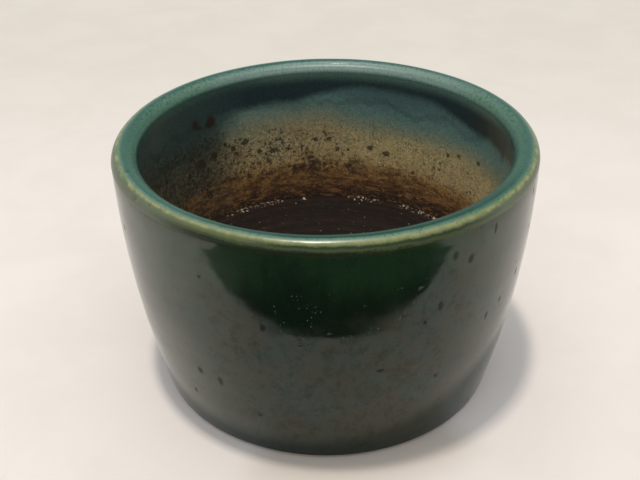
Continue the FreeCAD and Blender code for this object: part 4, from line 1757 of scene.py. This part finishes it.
@dataclass
class Studio:
    """Floor, light and camera.

    Attributes:
        focal: focal length in millimetres on a 36 mm sensor.
        target: point that the camera looks at, in millimetres.
        distance: distance of the camera from it, in millimetres.
        elevation: height of the camera above the horizon, in degrees.
        roll: turn of the camera about its own axis, in radians.
        card_edge: distance from the axis to the dark ground in front, in millimetres.
        card_bow: how much nearer that ground comes on both sides, in millimetres.
        card_near: half its width beside the pot, in millimetres.
        card_half: half its width farther out, in millimetres.
        card_spread: distance at which it is that wide, in millimetres.
        card_depth: distance of its far edge, in millimetres.
        lamp_place: where the lamp hangs, in millimetres.
        lamp_size: side of the lamp in millimetres.
        lamp_power: power of the lamp in watts.
        warmth: colour of the lamp.
        sky_colour: colour of the sky.
        sky_strength: strength of the sky.
    """

    focal: float = 52.2
    target: tuple[float, float, float] = (-2.8, 0.0, 59.9)
    distance: float = 422.0
    elevation: float = 31.8
    roll: float = 0.0155
    card_edge: float = 156.0
    card_bow: float = 21.0
    card_near: float = 206.0
    card_half: float = 700.0
    card_spread: float = 760.0
    card_depth: float = 1600.0
    lamp_place: tuple[float, float, float] = (-350.0, -392.0, 5000.0)
    lamp_size: float = 340.0
    lamp_power: float = 98.0
    warmth: Colour = (1.0, 0.93, 0.85)
    sky_colour: Colour = (0.93, 0.97, 1.0)
    sky_strength: float = 0.74

    def set_up(self) -> None:
        """Builds the whole stage."""
        self.ground()
        self.card()
        self.lamp()
        self.sky()
        self.camera()

    def plane(self, name: str, low: tuple[float, float], high: tuple[float, float], height: float,
              material: bpy.types.Material) -> None:
        """A level rectangle that isn't part of the object.

        Args:
            name: its name.
            low: its lowest x and y in millimetres.
            high: its highest x and y.
            height: its height.
            material: its material.
        """
        mesh = bpy.data.meshes.new(name)
        corners = [(low[0], low[1]), (high[0], low[1]), (high[0], high[1]), (low[0], high[1])]
        mesh.from_pydata([(x * MM, y * MM, height * MM) for x, y in corners], [], [(0, 1, 2, 3)])
        mesh.materials.append(material)
        thing = bpy.data.objects.new(name, mesh)
        bpy.context.scene.collection.objects.link(thing)

    def ground(self) -> None:
        """A plain pale stone floor."""
        self.plane("floor", (-3000.0, -3000.0), (3000.0, 3000.0), -0.05, StoneFloor("pale_floor").build())

    def card(self) -> None:
        """Dark ground in front of the pot, which only the glaze's reflections see."""
        finish = Mottled("dark_ground", (0.012, 0.012, 0.012), (0.020, 0.019, 0.018), 40.0, (0.8, 0.9))
        near, half, spread, depth = self.card_near, self.card_half, self.card_spread, self.card_depth
        edge = [(x, -self.card_edge + self.card_bow * min(1.0, abs(x / 190.0)**1.3))
                for x in np.linspace(-near, near, 41)]
        corners = [*edge, (near + 4.0, -170.0), (half, -spread), (half, -depth), (-half, -depth),
                   (-half, -spread), (-near - 4.0, -170.0)]
        mesh = bpy.data.meshes.new("dark_card")
        mesh.from_pydata([(x * MM, y * MM, 0.4 * MM) for x, y in corners], [],
                         [tuple(reversed(range(len(corners))))])
        mesh.materials.append(finish.build())
        card = bpy.data.objects.new("dark_card", mesh)
        card.visible_camera = False
        card.visible_diffuse = False
        card.visible_shadow = False
        bpy.context.scene.collection.objects.link(card)

    def lamp(self) -> None:
        """A soft square light aimed at the pot."""
        data = bpy.data.lights.new("ceiling_light", "AREA")
        data.size = self.lamp_size * MM
        data.energy = self.lamp_power
        data.color = self.warmth
        lamp = bpy.data.objects.new("ceiling_light", data)
        place = Vector(self.lamp_place)
        lamp.location = place * MM
        lamp.rotation_euler = (Vector((0, 0, 60.0)) - place).to_track_quat("-Z", "Y").to_euler()
        bpy.context.scene.collection.objects.link(lamp)

    def sky(self) -> None:
        """Even, slightly cool light from all round."""
        world = bpy.data.worlds.new("soft_sky")
        world.use_nodes = True
        background = world.node_tree.nodes["Background"]
        background.inputs[0].default_value = (*self.sky_colour, 1.0)
        background.inputs[1].default_value = self.sky_strength
        bpy.context.scene.world = world

    def camera(self) -> None:
        """Camera at the given angle, with its small roll."""
        data = bpy.data.cameras.new("camera")
        data.lens = self.focal
        data.sensor_width = 36.0
        data.clip_start = 0.01
        camera = bpy.data.objects.new("camera", data)
        rise = math.radians(self.elevation)
        forward = Vector((0.0, math.cos(rise), -math.sin(rise)))
        place = (Vector(self.target) - forward * self.distance) * MM
        turn = forward.to_track_quat("-Z", "Y").to_matrix().to_4x4()
        camera.matrix_world = (Matrix.Translation(place) @ turn
                               @ Matrix.Rotation(-self.roll, 4, "Z"))
        bpy.context.scene.collection.objects.link(camera)
        bpy.context.scene.camera = camera
        bpy.context.scene.view_settings.view_transform = "Standard"


def main() -> None:
    """Builds every assembly, the stage and the camera."""
    logging.basicConfig(level=logging.INFO, format="%(name)s %(message)s")
    shape = PotShape()
    hand = Relief()
    turnery = Turnery(TurnedTree())
    clay = ClayBody(shape, turnery, hand)
    clay.wall()
    clay.slab()
    clay.coil()
    coats = GlazeCoats(shape, turnery, hand)
    coats.outside()
    coats.lip()
    coats.inside()
    fittings = DrainFittings(shape)
    fittings.screen()
    fittings.wire()
    Crumbs(shape).scatter()
    Studio().set_up()


if __name__ == "__main__":
    main()
